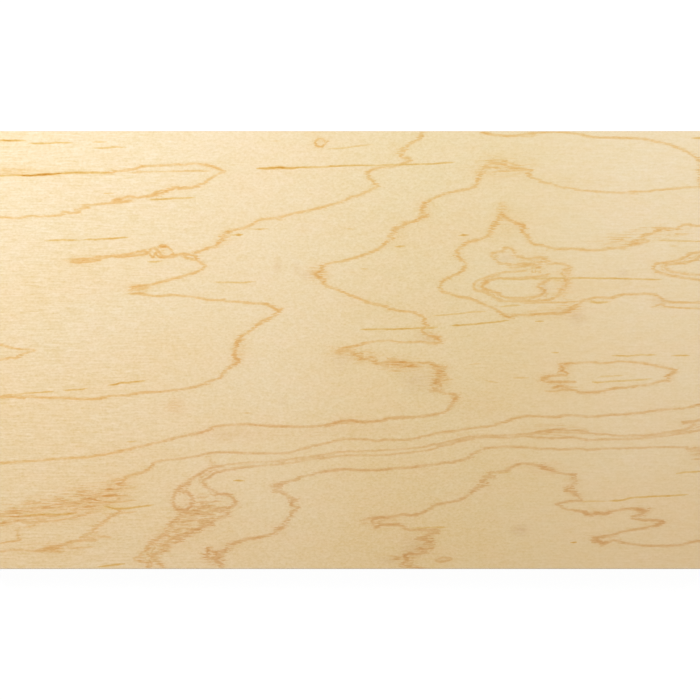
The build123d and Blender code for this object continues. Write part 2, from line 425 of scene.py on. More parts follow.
FLECKS = (
    # Pith flecks and fine streaks, which lie along the grain
    fleck(1.25, (-16, 176.6), (8, 175.6), (30, 175.5), (45, 174.5), (67, 172.8), (95, 172.9),
          (112, 172.6)),
    fleck(3.1, (18, 175.6), (30, 175.5), (45, 174.5), (64, 173.0)),
    fleck(2.1, (-16, 140.4), (0, 140.5), (12, 140.6), (26, 140.7)),
    fleck(1.2, (28, 143.3), (45, 143.3), (60, 142.7), (73, 142.7)),
    faint(1.4, (92, 142), (108, 142)),
    faint(1.4, (94, 148), (110, 148), (115, 147), (127, 147.3)),
    faint(1.5, (104, 193.5), (114, 193.5)),
    fleck(1.1, (148, 199.8), (160, 199.3), (172, 198.5), (185, 198), (196, 197.5)),
    fleck(1.1, (44, 240.8), (60, 240), (78, 240.3)),
    fleck(1.45, (83, 239.9), (105, 238.8), (115, 238.2), (129, 237.3)),
    faint(1.0, (271, 141), (281, 141)),
    fleck(1.2, (256, 168.5), (265, 168.3), (278, 167.8), (295, 168), (300, 167.3), (320, 167),
          (345, 165.7), (370, 165.2), (400, 164.6), (420, 164.4), (435, 163.6), (445, 162.8), (456, 162)),
    faint(1.5, (249, 229), (269, 228.7)),
    faint(1.6, (274, 219), (279, 220), (285, 219.8)),
    fleck(1.6, (231, 235), (243, 234.8)),
    faint(1.0, (327, 149), (342, 148), (350, 147), (358, 145.7), (373, 144.8)),
    fleck(1.5, (458, 235.6), (469, 235)),
    faint(1.0, (345, 229), (355, 229)),
    fleck(1.0, (691, 138), (716, 138)),
    faint(1.1, (655, 240.4), (680, 240.8), (716, 241.7)),
    fleck(0.9, (147, 262), (163, 261)),
    fleck(0.8, (213, 282), (240, 282.5), (256, 281.5)),
    fleck(1.7, (395, 246.6), (405, 246.2)),
    faint(1.3, (360, 269), (369, 269)),
    fleck(1.0, (432, 316), (440, 315.5), (455, 314), (470, 312.3), (487, 311)),
    fleck(1.1, (360, 329.5), (395, 329), (438, 327.5)),
    fleck(1.3, (452, 325.6), (470, 324.5), (490, 322.5), (509, 320.3)),
    fleck(1.4, (500, 306.8), (508, 306), (521, 305)),
    fleck(0.9, (500, 279.6), (530, 279), (545, 278.3), (570, 278), (600, 278.3), (640, 279),
          (663, 279.8)),
    fleck(0.9, (586, 301.5), (600, 302.6), (612, 301.3)),
    fleck(1.6, (535, 321.5), (544, 321.2)),
    faint(1.2, (670, 246), (678, 246)),
    faint(1.4, (0, 395.5), (20, 394), (40, 392.3), (54, 391)),
    fleck(1.05, (63, 390.2), (80, 389.5), (88, 388.2)),
    fleck(1.6, (108, 385.2), (115, 384.7), (121, 382.7), (127, 382.7), (135, 381.8), (145, 380.8)),
    faint(1.2, (126, 442.2), (137, 441)),
    fleck(1.3, (97, 567), (105, 566), (115, 564.8), (125, 563.9)),
    fleck(1.2, (22, 515.5), (45, 515), (62, 514.2), (76, 513.2)),
    fleck(1.6, (233, 480.5), (245, 480.5)),
    faint(1.7, (242, 413), (253, 413)),
    fleck(0.85, (611, 355.5), (628, 356), (640, 355), (657, 355)),
    fleck(1.0, (671, 355.6), (690, 355.4)),
    fleck(1.6, (551, 352.4), (559, 352.8)),
    faint(1.4, (513, 378), (530, 377.8)),
    faint(1.4, (469, 364.5), (481, 363.5)),
    faint(1.3, (485, 380.8), (498, 382.5)),
    fleck(0.75, (598, 377), (610, 376), (624, 375.5)),
    fleck(0.75, (592, 382), (597, 382.5), (610, 381.5), (630, 380.5), (652, 378.8)),
    fleck(1.15, (608, 501.1), (622, 500), (632, 497.8), (645, 497), (675, 495.2), (689, 494.2)),
    fleck(1.0, (676, 473.6), (692, 471.8), (716, 470.7)),
    faint(0.8, (555, 504), (575, 501.7), (610, 501)),
    faint(1.5, (486, 472.5), (500, 473), (510, 472)),
    fleck(2.0, (570, 542.8), (577, 542.4)),
    faint(1.2, (361, 498), (369, 498)),
    fleck(0.65, (412, 528.3), (430, 527.5), (449, 527.4)),
    fleck(0.9, (671, 317), (676, 316.7)),
)

BLOOMS = (
    # Where single lines run dark or thick
    Bloom((66, 172.7), (28, 5), swell=0.2, haze=0.1),
    Bloom((130, 201), (4, 3), swell=0.6),
    Bloom((277, 168), (18, 3), swell=1.0),
    Bloom((80, 261), (14, 3), swell=-0.3, haze=1.6, hatch=0.3),
    Bloom((158, 252), (20, 8), swell=0.1, fray=-0.4, haze=0.1),
    Bloom((163, 246.4), (6, 2.5), swell=0.6),
    Bloom((223, 238), (9, 8), swell=0.15, fray=0.6, haze=0.3, hatch=0.2),
    Bloom((485, 284), (5, 5), swell=0.9),
    Bloom((585, 278), (22, 3), swell=0.05),
    Bloom((597, 302.5), (6, 3), swell=0.5),
    Bloom((398, 246.5), (3, 2), swell=0.4),
    Bloom((435, 327.6), (5, 2.5), swell=0.6),
    Bloom((455, 325.4), (5, 2.5), swell=0.5),
    Bloom((594, 382.4), (4, 2.5), swell=0.5),
    Bloom((464, 235), (3, 2), swell=0.5),
    Bloom((240, 235), (2.5, 2), swell=0.8),
    # Where the rings break into fibres
    Bloom((399, 152), (10, 8), fray=0.4, haze=0.35),
    Bloom((503, 166), (28, 10), swell=-0.35, fray=0.6, haze=0.5, hatch=0.3),
    Bloom((425, 210), (10, 12), swell=0.25, fray=0.25, haze=0.45),
    Bloom((509, 226), (20, 14), swell=0.05, fray=0.3, haze=0.35),
    Bloom((612, 242), (14, 7), swell=0.2, fray=0.5, haze=0.35),
    Bloom((318, 273), (11, 9), swell=0.15, fray=0.2, haze=0.6, hatch=0.3),
    Bloom((700, 172), (7, 14), fray=0.5, haze=0.3),
    Bloom((535, 264), (18, 9), fray=0.4, haze=0.3),
    Bloom((563, 280), (8, 18), fray=0.3, haze=0.3),
    Bloom((434, 339), (9, 6), fray=0.2, haze=0.4),
    Bloom((340, 351), (12, 6), swell=0.2, fray=0.5, haze=0.5, hatch=0.2),
    Bloom((401, 364), (22, 7), swell=-0.1, fray=0.8, haze=0.7, hatch=0.5),
    Bloom((440, 377), (13, 15), fray=1.2, haze=0.4),
    Bloom((437, 391), (8, 4), fray=0.3, haze=0.3),
    Bloom((455, 399), (8, 9), swell=0.15, haze=0.3),
    Bloom((506, 316), (10, 4), haze=0.4),
    Bloom((562, 312), (22, 7), fray=0.3, haze=0.3),
    Bloom((245, 424.5), (8, 4), swell=0.2),
    Bloom((397, 418), (30, 4), swell=0.45),
    Bloom((555, 417), (9, 4), swell=0.3),
    Bloom((560, 431), (34, 7), swell=-0.1, haze=0.5, hatch=0.25),
    Bloom((691, 424), (7, 5), swell=0.1, fray=0.3, haze=0.4),
    Bloom((697, 454), (12, 9), fray=0.4, haze=0.45),
    Bloom((565, 368), (8, 9), swell=0.2, fray=0.4, haze=0.5),
    Bloom((546, 379), (8, 4), swell=0.3, fray=0.3, haze=0.5),
    Bloom((558, 388), (14, 5), fray=0.4, haze=0.5),
    Bloom((590, 392), (14, 4), swell=0.2, haze=0.2),
    Bloom((670, 376), (6, 6), swell=0.2, fray=0.2, haze=0.5),
    Bloom((122, 483), (10, 7), swell=-0.1, fray=0.5, haze=0.4),
    Bloom((100, 498), (28, 11), swell=-0.3, fray=0.8, haze=0.5),
    Bloom((60, 506), (36, 9), swell=-0.35, fray=0.4, haze=0.4),
    Bloom((95, 511), (22, 8), fray=0.4, haze=0.35),
    Bloom((20, 518), (36, 10), swell=-0.4, fray=0.4, haze=0.35),
    Bloom((55, 549), (22, 6), swell=0.15, fray=0.5, haze=0.5, hatch=0.3),
    Bloom((97, 531), (14, 9), fray=0.4, haze=0.25),
    Bloom((212, 467), (9, 5), swell=0.2, fray=0.3, haze=0.3),
    Bloom((184, 486), (12, 8), swell=0.5, fray=0.3),
    Bloom((206, 513), (26, 16), swell=0.1, fray=0.4),
    Bloom((182, 532), (20, 12), fray=0.5, haze=0.2),
    Bloom((155, 549), (18, 12), fray=0.5, haze=0.25),
    Bloom((278, 486), (9, 7), swell=0.2, fray=0.5, haze=0.3),
    Bloom((292, 505), (7, 16), swell=0.3, fray=0.15, haze=0.1),
    Bloom((279, 529), (14, 9), swell=0.4, fray=0.3, haze=0.2),
    Bloom((230, 546), (10, 7), swell=0.35, fray=0.4, haze=0.35),
    Bloom((214, 556), (12, 11), swell=0.3, fray=0.5, haze=0.5),
    Bloom((388, 518), (8, 4), swell=0.5, haze=0.3),
    Bloom((412, 515), (14, 4), swell=0.2),
    Bloom((375, 522), (14, 7), fray=0.2, haze=0.3),
    Bloom((484, 482), (10, 9), swell=0.2, fray=0.5, haze=0.3),
    Bloom((546, 468), (18, 6), swell=0.15, fray=0.6, haze=0.3, hatch=0.15),
    Bloom((572, 485), (9, 15), fray=0.7, haze=0.35),
    Bloom((596, 513), (15, 5), swell=0.65, fray=0.3, haze=0.5),
    Bloom((643, 511), (10, 5), swell=0.5, fray=0.3, haze=0.5),
    Bloom((658, 522.5), (10, 4), swell=0.55, haze=0.5),
    Bloom((599, 540), (10, 6), swell=0.4, fray=0.3, haze=0.5),
    Bloom((427, 543), (11, 14), swell=0.25, fray=0.6, haze=0.2),
    Bloom((408, 560), (13, 9), swell=0.35, fray=0.8, haze=0.5),
    # Where fine dashes along the grain stand in for a ring
    Bloom((118, 487), (14, 9), haze=0.3, hatch=0.5),
    Bloom((100, 496), (22, 10), haze=0.2, hatch=0.45),
    Bloom((80, 500), (24, 11), hatch=0.33),
    Bloom((55, 507), (26, 12), hatch=0.28),
    Bloom((25, 512), (28, 12), hatch=0.28),
    Bloom((0, 518), (26, 12), hatch=0.28),
    Bloom((205, 505), (26, 12), hatch=0.32),
    Bloom((190, 520), (22, 10), hatch=0.3),
    Bloom((175, 535), (20, 9), hatch=0.22),
    Bloom((160, 550), (16, 9), hatch=0.32),
    Bloom((150, 562), (14, 6), hatch=0.32),
    Bloom((438, 377), (9, 13), swell=-0.1, haze=0.4, hatch=0.35),
    Bloom((427, 545), (9, 12), hatch=0.35),
    Bloom((208, 556), (8, 8), hatch=0.4),
    Bloom((622, 241), (26, 6), haze=0.2, hatch=0.3),
    Bloom((436, 339), (5, 4), swell=0.2, hatch=0.3),
    Bloom((660, 232), (28, 6), haze=0.3, hatch=0.5),
    Bloom((400, 236), (14, 16), swell=0.15, fray=0.5, haze=0.25),
    Bloom((535, 262), (16, 8), hatch=0.15),
    Bloom((562, 285), (10, 16), hatch=0.25),
    Bloom((570, 306), (14, 6), hatch=0.3),
    Bloom((138, 288), (13, 4), swell=0.2, fray=0.1, haze=1.0, hatch=0.3),
    Bloom((502, 210), (6, 8), swell=-0.2, haze=0.4, hatch=0.25),
    Bloom((540, 314), (26, 5), fray=0.3, haze=0.2, hatch=0.15),
    Bloom((378, 521), (9, 5), swell=0.2, hatch=0.2),
    Bloom((443, 560), (8, 3), haze=0.5),
    Bloom((575, 181), (40, 6), haze=0.25),
    Bloom((240, 350), (8, 13), swell=0.45, haze=0.4, hatch=0.15),
    Bloom((185, 492), (13, 14), swell=0.1, haze=0.1),
    Bloom((228, 498), (12, 10), swell=0.4, fray=-0.1, haze=0.3),
    Bloom((40, 515.5), (34, 4), haze=0.5, hatch=0.15),
    # Where the lines run thin and clear
    Bloom((112, 490), (16, 9), swell=-0.45, fray=-0.2),
    Bloom((567, 506), (9, 6), swell=-0.3),
    Bloom((230, 460), (16, 6), swell=-0.25),
    Bloom((446, 388), (8, 8), swell=-0.2),
    Bloom((645, 435), (32, 6), swell=-0.25),
    Bloom((374, 165.2), (18, 3), swell=-0.35),
    Bloom((268, 461), (60, 7), swell=-0.35),
    Bloom((496, 433), (26, 8), swell=-0.3),
    Bloom((395, 341), (16, 4), swell=-0.3),
    Bloom((660, 447.5), (25, 3), swell=-0.3),
    Bloom((380, 451), (90, 9), swell=-0.3),
    Bloom((183, 500), (9, 9), swell=0.2, fray=-0.5),
    Bloom((128.5, 291.3), (3.5, 2.4), swell=-0.8),
    Bloom((215, 174), (12, 6), fray=-0.5),
    Bloom((430, 446), (40, 7), fray=-0.45),
    Bloom((395, 452), (60, 6), fray=-0.45),
    Bloom((479, 284), (9, 12), fray=-0.5),
    Bloom((370, 166), (75, 4), swell=0.1),
    Bloom((600, 186), (100, 12), swell=-0.3),
    Bloom((500, 300), (22, 8), swell=-0.2),
    Bloom((665, 267), (16, 10), swell=-0.05),
    Bloom((600, 437), (90, 7), swell=-0.05),
    Bloom((610, 362), (40, 4), swell=-0.2),
    Bloom((450, 313), (30, 5), swell=-0.4),
    # Where they run a little darker
    Bloom((232, 364), (9, 6), swell=0.3, haze=0.3),
    Bloom((200, 168), (16, 6), swell=0.25),
    Bloom((190, 190), (16, 5), swell=0.25),
    Bloom((563, 386), (8, 5), swell=0.3),
    Bloom((660, 301), (11, 5), haze=0.2, blush=0.3, hatch=0.1),
    Bloom((566, 313), (14, 6), blush=0.25),
    Bloom((96, 172.8), (14, 2.5), swell=0.35),
    Bloom((12, 171), (30, 3.5), haze=1.4),
    Bloom((146, 256), (24, 4), swell=0.6),
    Bloom((182, 257.5), (14, 5), swell=0.45),
    Bloom((181, 509), (9, 5), swell=0.5, haze=0.2),
    Bloom((113, 201), (18, 7), swell=0.5, haze=0.25),
    Bloom((206, 526), (13, 7), swell=0.4, hatch=0.2),
    Bloom((264, 319), (22, 16), swell=0.35),
    Bloom((297, 426.5), (42, 4), swell=0.2),
    Bloom((688, 262), (12, 10), swell=0.25),
    Bloom((252, 538.5), (13, 4), swell=0.6),
    Bloom((397, 525.5), (12, 4), swell=0.4),
    Bloom((422, 449.5), (14, 6), swell=0.15),
    Bloom((352, 421), (24, 5), swell=0.45, fray=0.3, haze=0.3),
    Bloom((198, 475), (12, 6), swell=0.15, fray=-0.2),
    Bloom((209, 478), (8, 7), swell=0.2, fray=-0.3),
    Bloom((476, 284), (4, 7), swell=0.3),
    Bloom((575, 249), (30, 5), swell=0.3),
    Bloom((365, 357), (15, 6), swell=-0.1, fray=0.9, haze=0.6, hatch=0.35),
    Bloom((160, 190), (60, 12), swell=0.3),
    Bloom((105, 257), (36, 6), swell=0.15),
    Bloom((320.5, 142.5), (8, 6), swell=0.3, fray=-0.3, haze=0.8),
    Bloom((330, 470), (60, 5), swell=0.2),
    Bloom((455, 460), (26, 9), swell=0.2),
    Bloom((520, 466), (26, 7), swell=0.1),
    Bloom((180, 459), (60, 5), swell=-0.1),
    # Paler wood
    Bloom((142, 438), (26, 8), haze=-0.6),
    # Grey and pinkish stains
    Bloom((308, 275), (9, 4), blush=0.5),
    Bloom((418, 381), (17, 12), blush=0.5),
    Bloom((425, 337), (12, 5), blush=0.4),
    Bloom((342, 359), (13, 7), blush=0.35),
    Bloom((412, 546), (13, 11), blush=0.5),
    Bloom((388, 561), (12, 5), blush=0.4),
    Bloom((520, 530), (9, 5), blush=0.8),
    Bloom((578, 319), (10, 7), blush=0.5),
    Bloom((623, 273), (6, 4), blush=0.4),
    Bloom((277, 266), (4, 6), blush=0.5, haze=0.2),
    Bloom((296, 267), (4, 6), blush=0.4),
    Bloom((175, 406), (9, 8), haze=0.8),
    Bloom((340, 369), (5, 3), blush=0.3),
    Bloom((312, 133), (9, 4), haze=0.5),
    Bloom((472, 148.5), (9, 3), haze=0.3),
    Bloom((637, 336), (6, 4), haze=0.2),
    Bloom((283, 402), (4, 4), blush=0.25),
    Bloom((307, 398), (4, 4), blush=0.25),
    Bloom((329, 486), (6, 3), haze=0.35),
    Bloom((505, 258), (10, 5), blush=0.4),
    Bloom((545, 288), (6, 9), blush=0.35),
    Bloom((503, 209), (4, 6), haze=0.3),
    # Warm bands that lie along the under side of the long rings
    Bloom((290, 434), (90, 7), haze=0.28),
    Bloom((225, 434), (28, 7), blush=0.25),
    Bloom((370, 429), (60, 6), haze=0.25),
    Bloom((470, 405), (40, 16), haze=0.22),
    Bloom((150, 453), (60, 5), haze=0.2),
    Bloom((400, 444), (60, 4), haze=0.15),
    Bloom((600, 286), (70, 7), haze=0.2),
    Bloom((520, 150), (60, 9), haze=0.12),
)


@dataclass
class VeneerFigure:
    """The dark lines and stains of the good face, worked out from the given lists.

    A line wobbles a little off its route and thins out towards its ends, where tip is what is
    left of it. comb is how far its fibres reach along the grain, and a point of the face sees
    the lines within its sight. A line counts up to shoulder half widths from its middle, keeps
    leeway from the next one, and has a halo of tanned wood where it frays.
    """

    sheet_width: float
    photo: PhotoFrame = PhotoFrame()
    sample_step: float = 0.25
    wobble: float = 0.24
    wobble_size: Place = (8.0, 3.0)
    wobble_layer: float = 8.1
    tip: float = 0.1
    tip_depth: float = 0.3
    tip_width: float = 0.45
    swell_width: float = 0.6
    bloom_fall: float = 1.1
    bloom_edge: float = 1.25
    comb: float = 1.7
    sight: float = 6.0
    shoulder: float = 1.5
    leeway: float = 0.25
    hatch_room: float = 2.0
    halo: float = 0.34
    halo_width: float = 3.4
    flanks: tuple[float, ...] = (0.6, -0.6, 1.5, -1.5)
    unseen: tuple[float, float, float] = (40.0, 40.0, 0.0)

    def __post_init__(self) -> None:
        """Work out the samples of all lines."""
        self.bloom_table = self._blooms_on_face()
        self.lines = [self._samples(strand) for strand in RINGS + THREADS + FLECKS]

    def _blooms_on_face(self) -> np.ndarray:
        """Return one row for each bloom: x, y, reach x, reach y and its five values."""
        pixel = self.photo.pixel(self.sheet_width)
        rows = []
        for bloom in BLOOMS:
            x, y = self.photo.on_face(bloom.centre, self.sheet_width)
            rows.append((x, y, bloom.reach[0] * pixel, bloom.reach[1] * pixel,
                         bloom.swell, bloom.fray, bloom.haze, bloom.blush, bloom.hatch))
        return np.array(rows)

    def _bloom_values(self, places: np.ndarray) -> np.ndarray:
        """Return swell, fray, haze, blush and hatch at each place.

        Args:
            places: One row of x and y for each place.

        Returns:
            One row of the five values for each place.
        """
        table = self.bloom_table
        along = (places[:, None, 0] - table[None, :, 0]) / table[None, :, 2]
        across = (places[:, None, 1] - table[None, :, 1]) / table[None, :, 3]
        share = np.exp(-self.bloom_fall * (along ** 2 + across ** 2) ** self.bloom_edge)
        return share @ table[:, 4:]

    def _smooth(self, route: np.ndarray) -> np.ndarray:
        """Return evenly spaced points on a curve through the places of a route."""
        padded = np.vstack((2 * route[0] - route[1], route, 2 * route[-1] - route[-2]))
        points = []
        for before, start, end, after in zip(padded, padded[1:], padded[2:], padded[3:]):
            span = float(np.linalg.norm(end - start))
            count = max(2, round(span / self.sample_step))
            share = (np.arange(count) / count)[:, None]
            lead = 0.5 * (end - before) * min(1.0, span / max(1e-6, np.linalg.norm(start - before)))
            trail = 0.5 * (after - start) * min(1.0, span / max(1e-6, np.linalg.norm(after - end)))
            square, cube = share ** 2, share ** 3
            points.append(start * (2 * cube - 3 * square + 1) + lead * (cube - 2 * square + share)
                          + end * (3 * square - 2 * cube) + trail * (cube - square))
        return np.vstack(points + [route[-1:]])

    def _samples(self, strand: Strand) -> np.ndarray:
        """Return one row for each sample of a line.

        Args:
            strand: The line.

        Returns:
            Rows of x, y, tangent x, tangent y, half width, depth, comb reach and tint.
        """
        stroke = strand.mark.value
        points = self._smooth(np.array([self.photo.on_face(place, self.sheet_width)
                                        for place in strand.route]))
        drift = [value_noise.noise(Vector((x / self.wobble_size[0], y / self.wobble_size[1],
                                           self.wobble_layer))) for x, y in points]
        points[:, 1] += self.wobble * np.array(drift)
        tangents = np.gradient(points, axis=0)
        tangents /= np.maximum(1e-9, np.linalg.norm(tangents, axis=1))[:, None]
        lengths = np.concatenate(([0.0], np.cumsum(np.linalg.norm(np.diff(points, axis=0), axis=1))))
        from_end = np.minimum(lengths, lengths[-1] - lengths) / stroke.taper
        full = np.minimum(1.0, self.tip + (1.0 - self.tip) * from_end)
        swell, fray = self._bloom_values(points)[:, :2].T
        reach = self.comb * (stroke.fray + fray) * np.abs(tangents[:, 1])
        depth = stroke.depth * strand.weight * (1.0 + swell)
        depth *= self.tip_depth + (1.0 - self.tip_depth) * full
        half = 0.5 * stroke.width * (1.0 + self.swell_width * swell)
        half *= self.tip_width + (1.0 - self.tip_width) * full
        tint = np.full(len(points), stroke.tint)
        return np.column_stack((points, tangents, half, depth, reach, tint))

    def guide_points(self, spacing: float) -> tuple[list[Place], list[Place]]:
        """Return points that the mesh of the face should have.

        Args:
            spacing: The distance between points along a line.

        Returns:
            The points on the lines, and the rows that flank them.
        """
        stride = max(1, round(spacing / self.sample_step))
        chosen = np.vstack([line[::stride] for line in self.lines])
        normals = np.column_stack((-chosen[:, 3], chosen[:, 2]))
        beside = np.vstack([chosen[:, :2] + normals * flank for flank in self.flanks])
        return [tuple(place) for place in chosen[:, :2]], [tuple(place) for place in beside]

    def values_at(self, places: np.ndarray) -> dict[str, np.ndarray]:
        """Return what the finish reads at each point of the face.

        Args:
            places: One row of x and y for each point.

        Returns:
            For each attribute, rows of three values: "line" has the signed and the plain distance
            to the line that shows most and its comb reach, "stroke" has its depth, tint and half
            width, and "stain" has the haze, the blush and the hatch.
        """
        count = len(places)
        line_values = np.tile(self.unseen, (count, 1))
        stroke_values = np.tile((0.0, 0.0, 1.0), (count, 1))
        stain_values = self._bloom_values(places)[:, 2:]
        best_score = np.zeros(count)
        views = [view for view in (self._view(line, places) for line in self.lines) if len(view[0])]
        room = self._room(views, count) + self.hatch_room * np.maximum(0.0, stain_values[:, 2])
        for near, sample, side, plain in views:
            half, depth, reach, tint = sample[:, 4:].T
            reach = np.minimum(reach, room[near])
            beyond = np.maximum(0.0, plain - reach) / half
            score = depth * np.maximum(0.0, self.shoulder - beyond)
            score = np.where(score > 0, score + 1.0, 1.0 / (1.0 + beyond))
            better = score > best_score[near]
            won = near[better]
            best_score[won] = score[better]
            signed = np.copysign(plain, side)
            line_values[won] = np.column_stack((signed, plain, reach))[better]
            stroke_values[won] = np.column_stack((depth, tint, half))[better]
            halo = self.halo * np.minimum(1.0, reach) * np.exp(-(plain / self.halo_width) ** 2)
            stain_values[near, 0] = np.maximum(stain_values[near, 0], halo)
        return {"line": line_values, "stroke": stroke_values, "stain": stain_values}

    def _room(self, views: list[tuple[np.ndarray, ...]], count: int) -> np.ndarray:
        """Return how far fibres may reach at each point before they meet the next line's."""
        closest = np.full((count, 2), 3.0 * self.sight)
        for near, _, _, plain in views:
            closest[near, 1] = np.minimum(closest[near, 1], np.maximum(closest[near, 0], plain))
            closest[near, 0] = np.minimum(closest[near, 0], plain)
        return self.leeway * closest.sum(axis=1)

    def _view(self, line: np.ndarray, places: np.ndarray) -> tuple[np.ndarray, ...]:
        """Return how one line lies to the points that can see it.

        Args:
            line: The samples of the line.
            places: One row of x and y for each point.

        Returns:
            The numbers of those points, the sample nearest to each, which side of the line each
            lies on as a signed distance, and its plain distance.
        """
        low, high = line[:, :2].min(axis=0) - self.sight, line[:, :2].max(axis=0) + self.sight
        near = np.flatnonzero(((places > low) & (places < high)).all(axis=1))
        sample = line[self._nearest(line, places[near])]
        offset = places[near] - sample[:, :2]
        along = np.abs((offset * sample[:, 2:4]).sum(axis=1))
        side = sample[:, 2] * offset[:, 1] - sample[:, 3] * offset[:, 0]
        plain = np.hypot(side, np.maximum(0.0, along - 0.5 * self.sample_step))
        return near, sample, side, plain

    def _nearest(self, line: np.ndarray, places: np.ndarray) -> list[int]:
        """Return the number of the sample that lies nearest to each place."""
        tree = kdtree.KDTree(len(line))
        for index, (x, y) in enumerate(line[:, :2]):
            tree.insert((x, y, 0.0), index)
        tree.balance()
        return [tree.find((x, y, 0.0))[1] for x, y in places]


class Signal:
    """What a socket gives, for use in formulas like a plain number."""

    def __init__(self, wiring: "Wiring", socket: bpy.types.NodeSocket) -> None:
        """Take a socket of the wiring's tree."""
        self.wiring = wiring
        self.socket = socket

    def __add__(self, other: object) -> "Signal":
        """Return the sum."""
        return self.wiring.math("ADD", self, other)

    def __sub__(self, other: object) -> "Signal":
        """Return the difference."""
        return self.wiring.math("SUBTRACT", self, other)

    def __rsub__(self, other: object) -> "Signal":
        """Return what a number has left."""
        return self.wiring.math("SUBTRACT", other, self)

    def __mul__(self, other: object) -> "Signal":
        """Return the product."""
        return self.wiring.math("MULTIPLY", self, other)

    def __truediv__(self, other: object) -> "Signal":
        """Return the quotient."""
        return self.wiring.math("DIVIDE", self, other)

    def __mod__(self, other: object) -> "Signal":
        """Return the remainder, which is never negative."""
        return self.wiring.math("FLOORED_MODULO", self, other)

    def __abs__(self) -> "Signal":
        """Return the size without its sign."""
        return self.wiring.math("ABSOLUTE", self)

    def floor(self) -> "Signal":
        """Return the whole number below."""
        return self.wiring.math("FLOOR", self)

    def above(self, limit: object) -> "Signal":
        """Return 1 above a limit and 0 elsewhere."""
        return self.wiring.math("GREATER_THAN", self, limit)

    def below(self, limit: object) -> "Signal":
        """Return 1 below a limit and 0 elsewhere."""
        return self.wiring.math("LESS_THAN", self, limit)

    def larger(self, other: object) -> "Signal":
        """Return the larger of two values."""
        return self.wiring.math("MAXIMUM", self, other)

    def smaller(self, other: object) -> "Signal":
        """Return the smaller of two values."""
        return self.wiring.math("MINIMUM", self, other)


@dataclass(frozen=True)
class Grain:
    """A pattern of noise. size is how long its grains are along each axis, in millimetres."""

    size: tuple[float, float, float]
    shift: float
    detail: float = 2.0
    roughness: float = 0.5


class Wiring:
    """Adds the nodes of one tree and links them."""

    def __init__(self, tree: bpy.types.NodeTree) -> None:
        """Start from an empty tree."""
        self.tree = tree
        tree.nodes.clear()

    def feed(self, socket: bpy.types.NodeSocket, value: object) -> None:
        """Link a socket to a signal, or set its value."""
        if isinstance(value, Signal):
            self.tree.links.new(value.socket, socket)
        else:
            socket.default_value = value

    def add(self, kind: str, feeds: dict | None = None, **settings: object) -> bpy.types.Node:
        """Add a node.

        Args:
            kind: The node's type name.
            feeds: A value or a signal for each input, by the input's name or number.
            settings: The node's own properties.

        Returns:
            The new node.
        """
        node = self.tree.nodes.new(kind)
        for name, value in settings.items():
            setattr(node, name, value)
        for key, value in (feeds or {}).items():
            self.feed(node.inputs[key], value)
        return node

    def signal(self, kind: str, feeds: dict | None = None, output: int | str = 0,
               **settings: object) -> Signal:
        """Add a node and return one of its outputs."""
        return Signal(self, self.add(kind, feeds, **settings).outputs[output])

    def signals(self, kind: str, feeds: dict | None = None) -> dict[str, Signal]:
        """Add a node and return its outputs by name."""
        return {socket.name: Signal(self, socket) for socket in self.add(kind, feeds).outputs}

    def math(self, operation: str, *terms: object) -> Signal:
        """Return the result of a Math node."""
        return self.signal("ShaderNodeMath", dict(enumerate(terms)), operation=operation)

    def vector(self, operation: str, *terms: object) -> Signal:
        """Return the result of a Vector Math node."""
        return self.signal("ShaderNodeVectorMath", dict(enumerate(terms)), operation=operation)

    def join(self, *parts: object) -> Signal:
        """Return a vector made of up to three parts."""
        return self.signal("ShaderNodeCombineXYZ", dict(enumerate(parts)))

    def split(self, value: Signal) -> tuple[Signal, ...]:
        """Return the three parts of a vector."""
        return tuple(self.signals("ShaderNodeSeparateXYZ", {0: value}).values())

    def mix(self, share: object, first: object, second: object, blend: str = "MIX") -> Signal:
        """Return a mix of two colours."""
        sides = [(*side, 1.0) if isinstance(side, tuple) else side for side in (first, second)]
        return self.signal("ShaderNodeMix", {0: share, 6: sides[0], 7: sides[1]}, 2,
                           data_type="RGBA", blend_type=blend)

    def tinted(self, colour: Signal, tint: object, share: object = 1.0) -> Signal:
        """Return a colour of which a share is seen through a tint."""
        return self.mix(share, colour, tint, "MULTIPLY")

    def ease(self, value: Signal, span: Span, result: Span = (0.0, 1.0), smooth: bool = True) -> Signal:
        """Return a value mapped from one span to another and held inside it."""
        return self.signal("ShaderNodeMapRange", dict(enumerate((value, *span, *result))),
                           interpolation_type="SMOOTHSTEP" if smooth else "LINEAR", clamp=True)

    def noise(self, coords: Signal, grain: Grain) -> Signal:
        """Return noise from 0 to 1."""
        scale = tuple(1.0 / side for side in grain.size)
        shift = (grain.shift, grain.shift * 1.7, grain.shift * 0.6)
        feeds = {"Vector": self.vector("MULTIPLY_ADD", coords, scale, shift), "Scale": 1.0,
                 "Detail": grain.detail, "Roughness": grain.roughness}
        return self.signal("ShaderNodeTexNoise", feeds, "Fac")

    def millimetres(self) -> Signal:
        """Return the object's own coordinates in millimetres."""
        coords = self.signal("ShaderNodeTexCoord", output="Object")
        return self.vector("MULTIPLY", coords, (1.0 / MM, 1.0 / MM, 1.0 / MM))

    def seen(self) -> Signal:
        """Return 1 for what the camera sees, straight or by a mirror, and 0 for light."""
        rays = self.signals("ShaderNodeLightPath")
        return rays["Is Camera Ray"].larger(rays["Is Glossy Ray"].larger(rays["Is Transmission Ray"]))


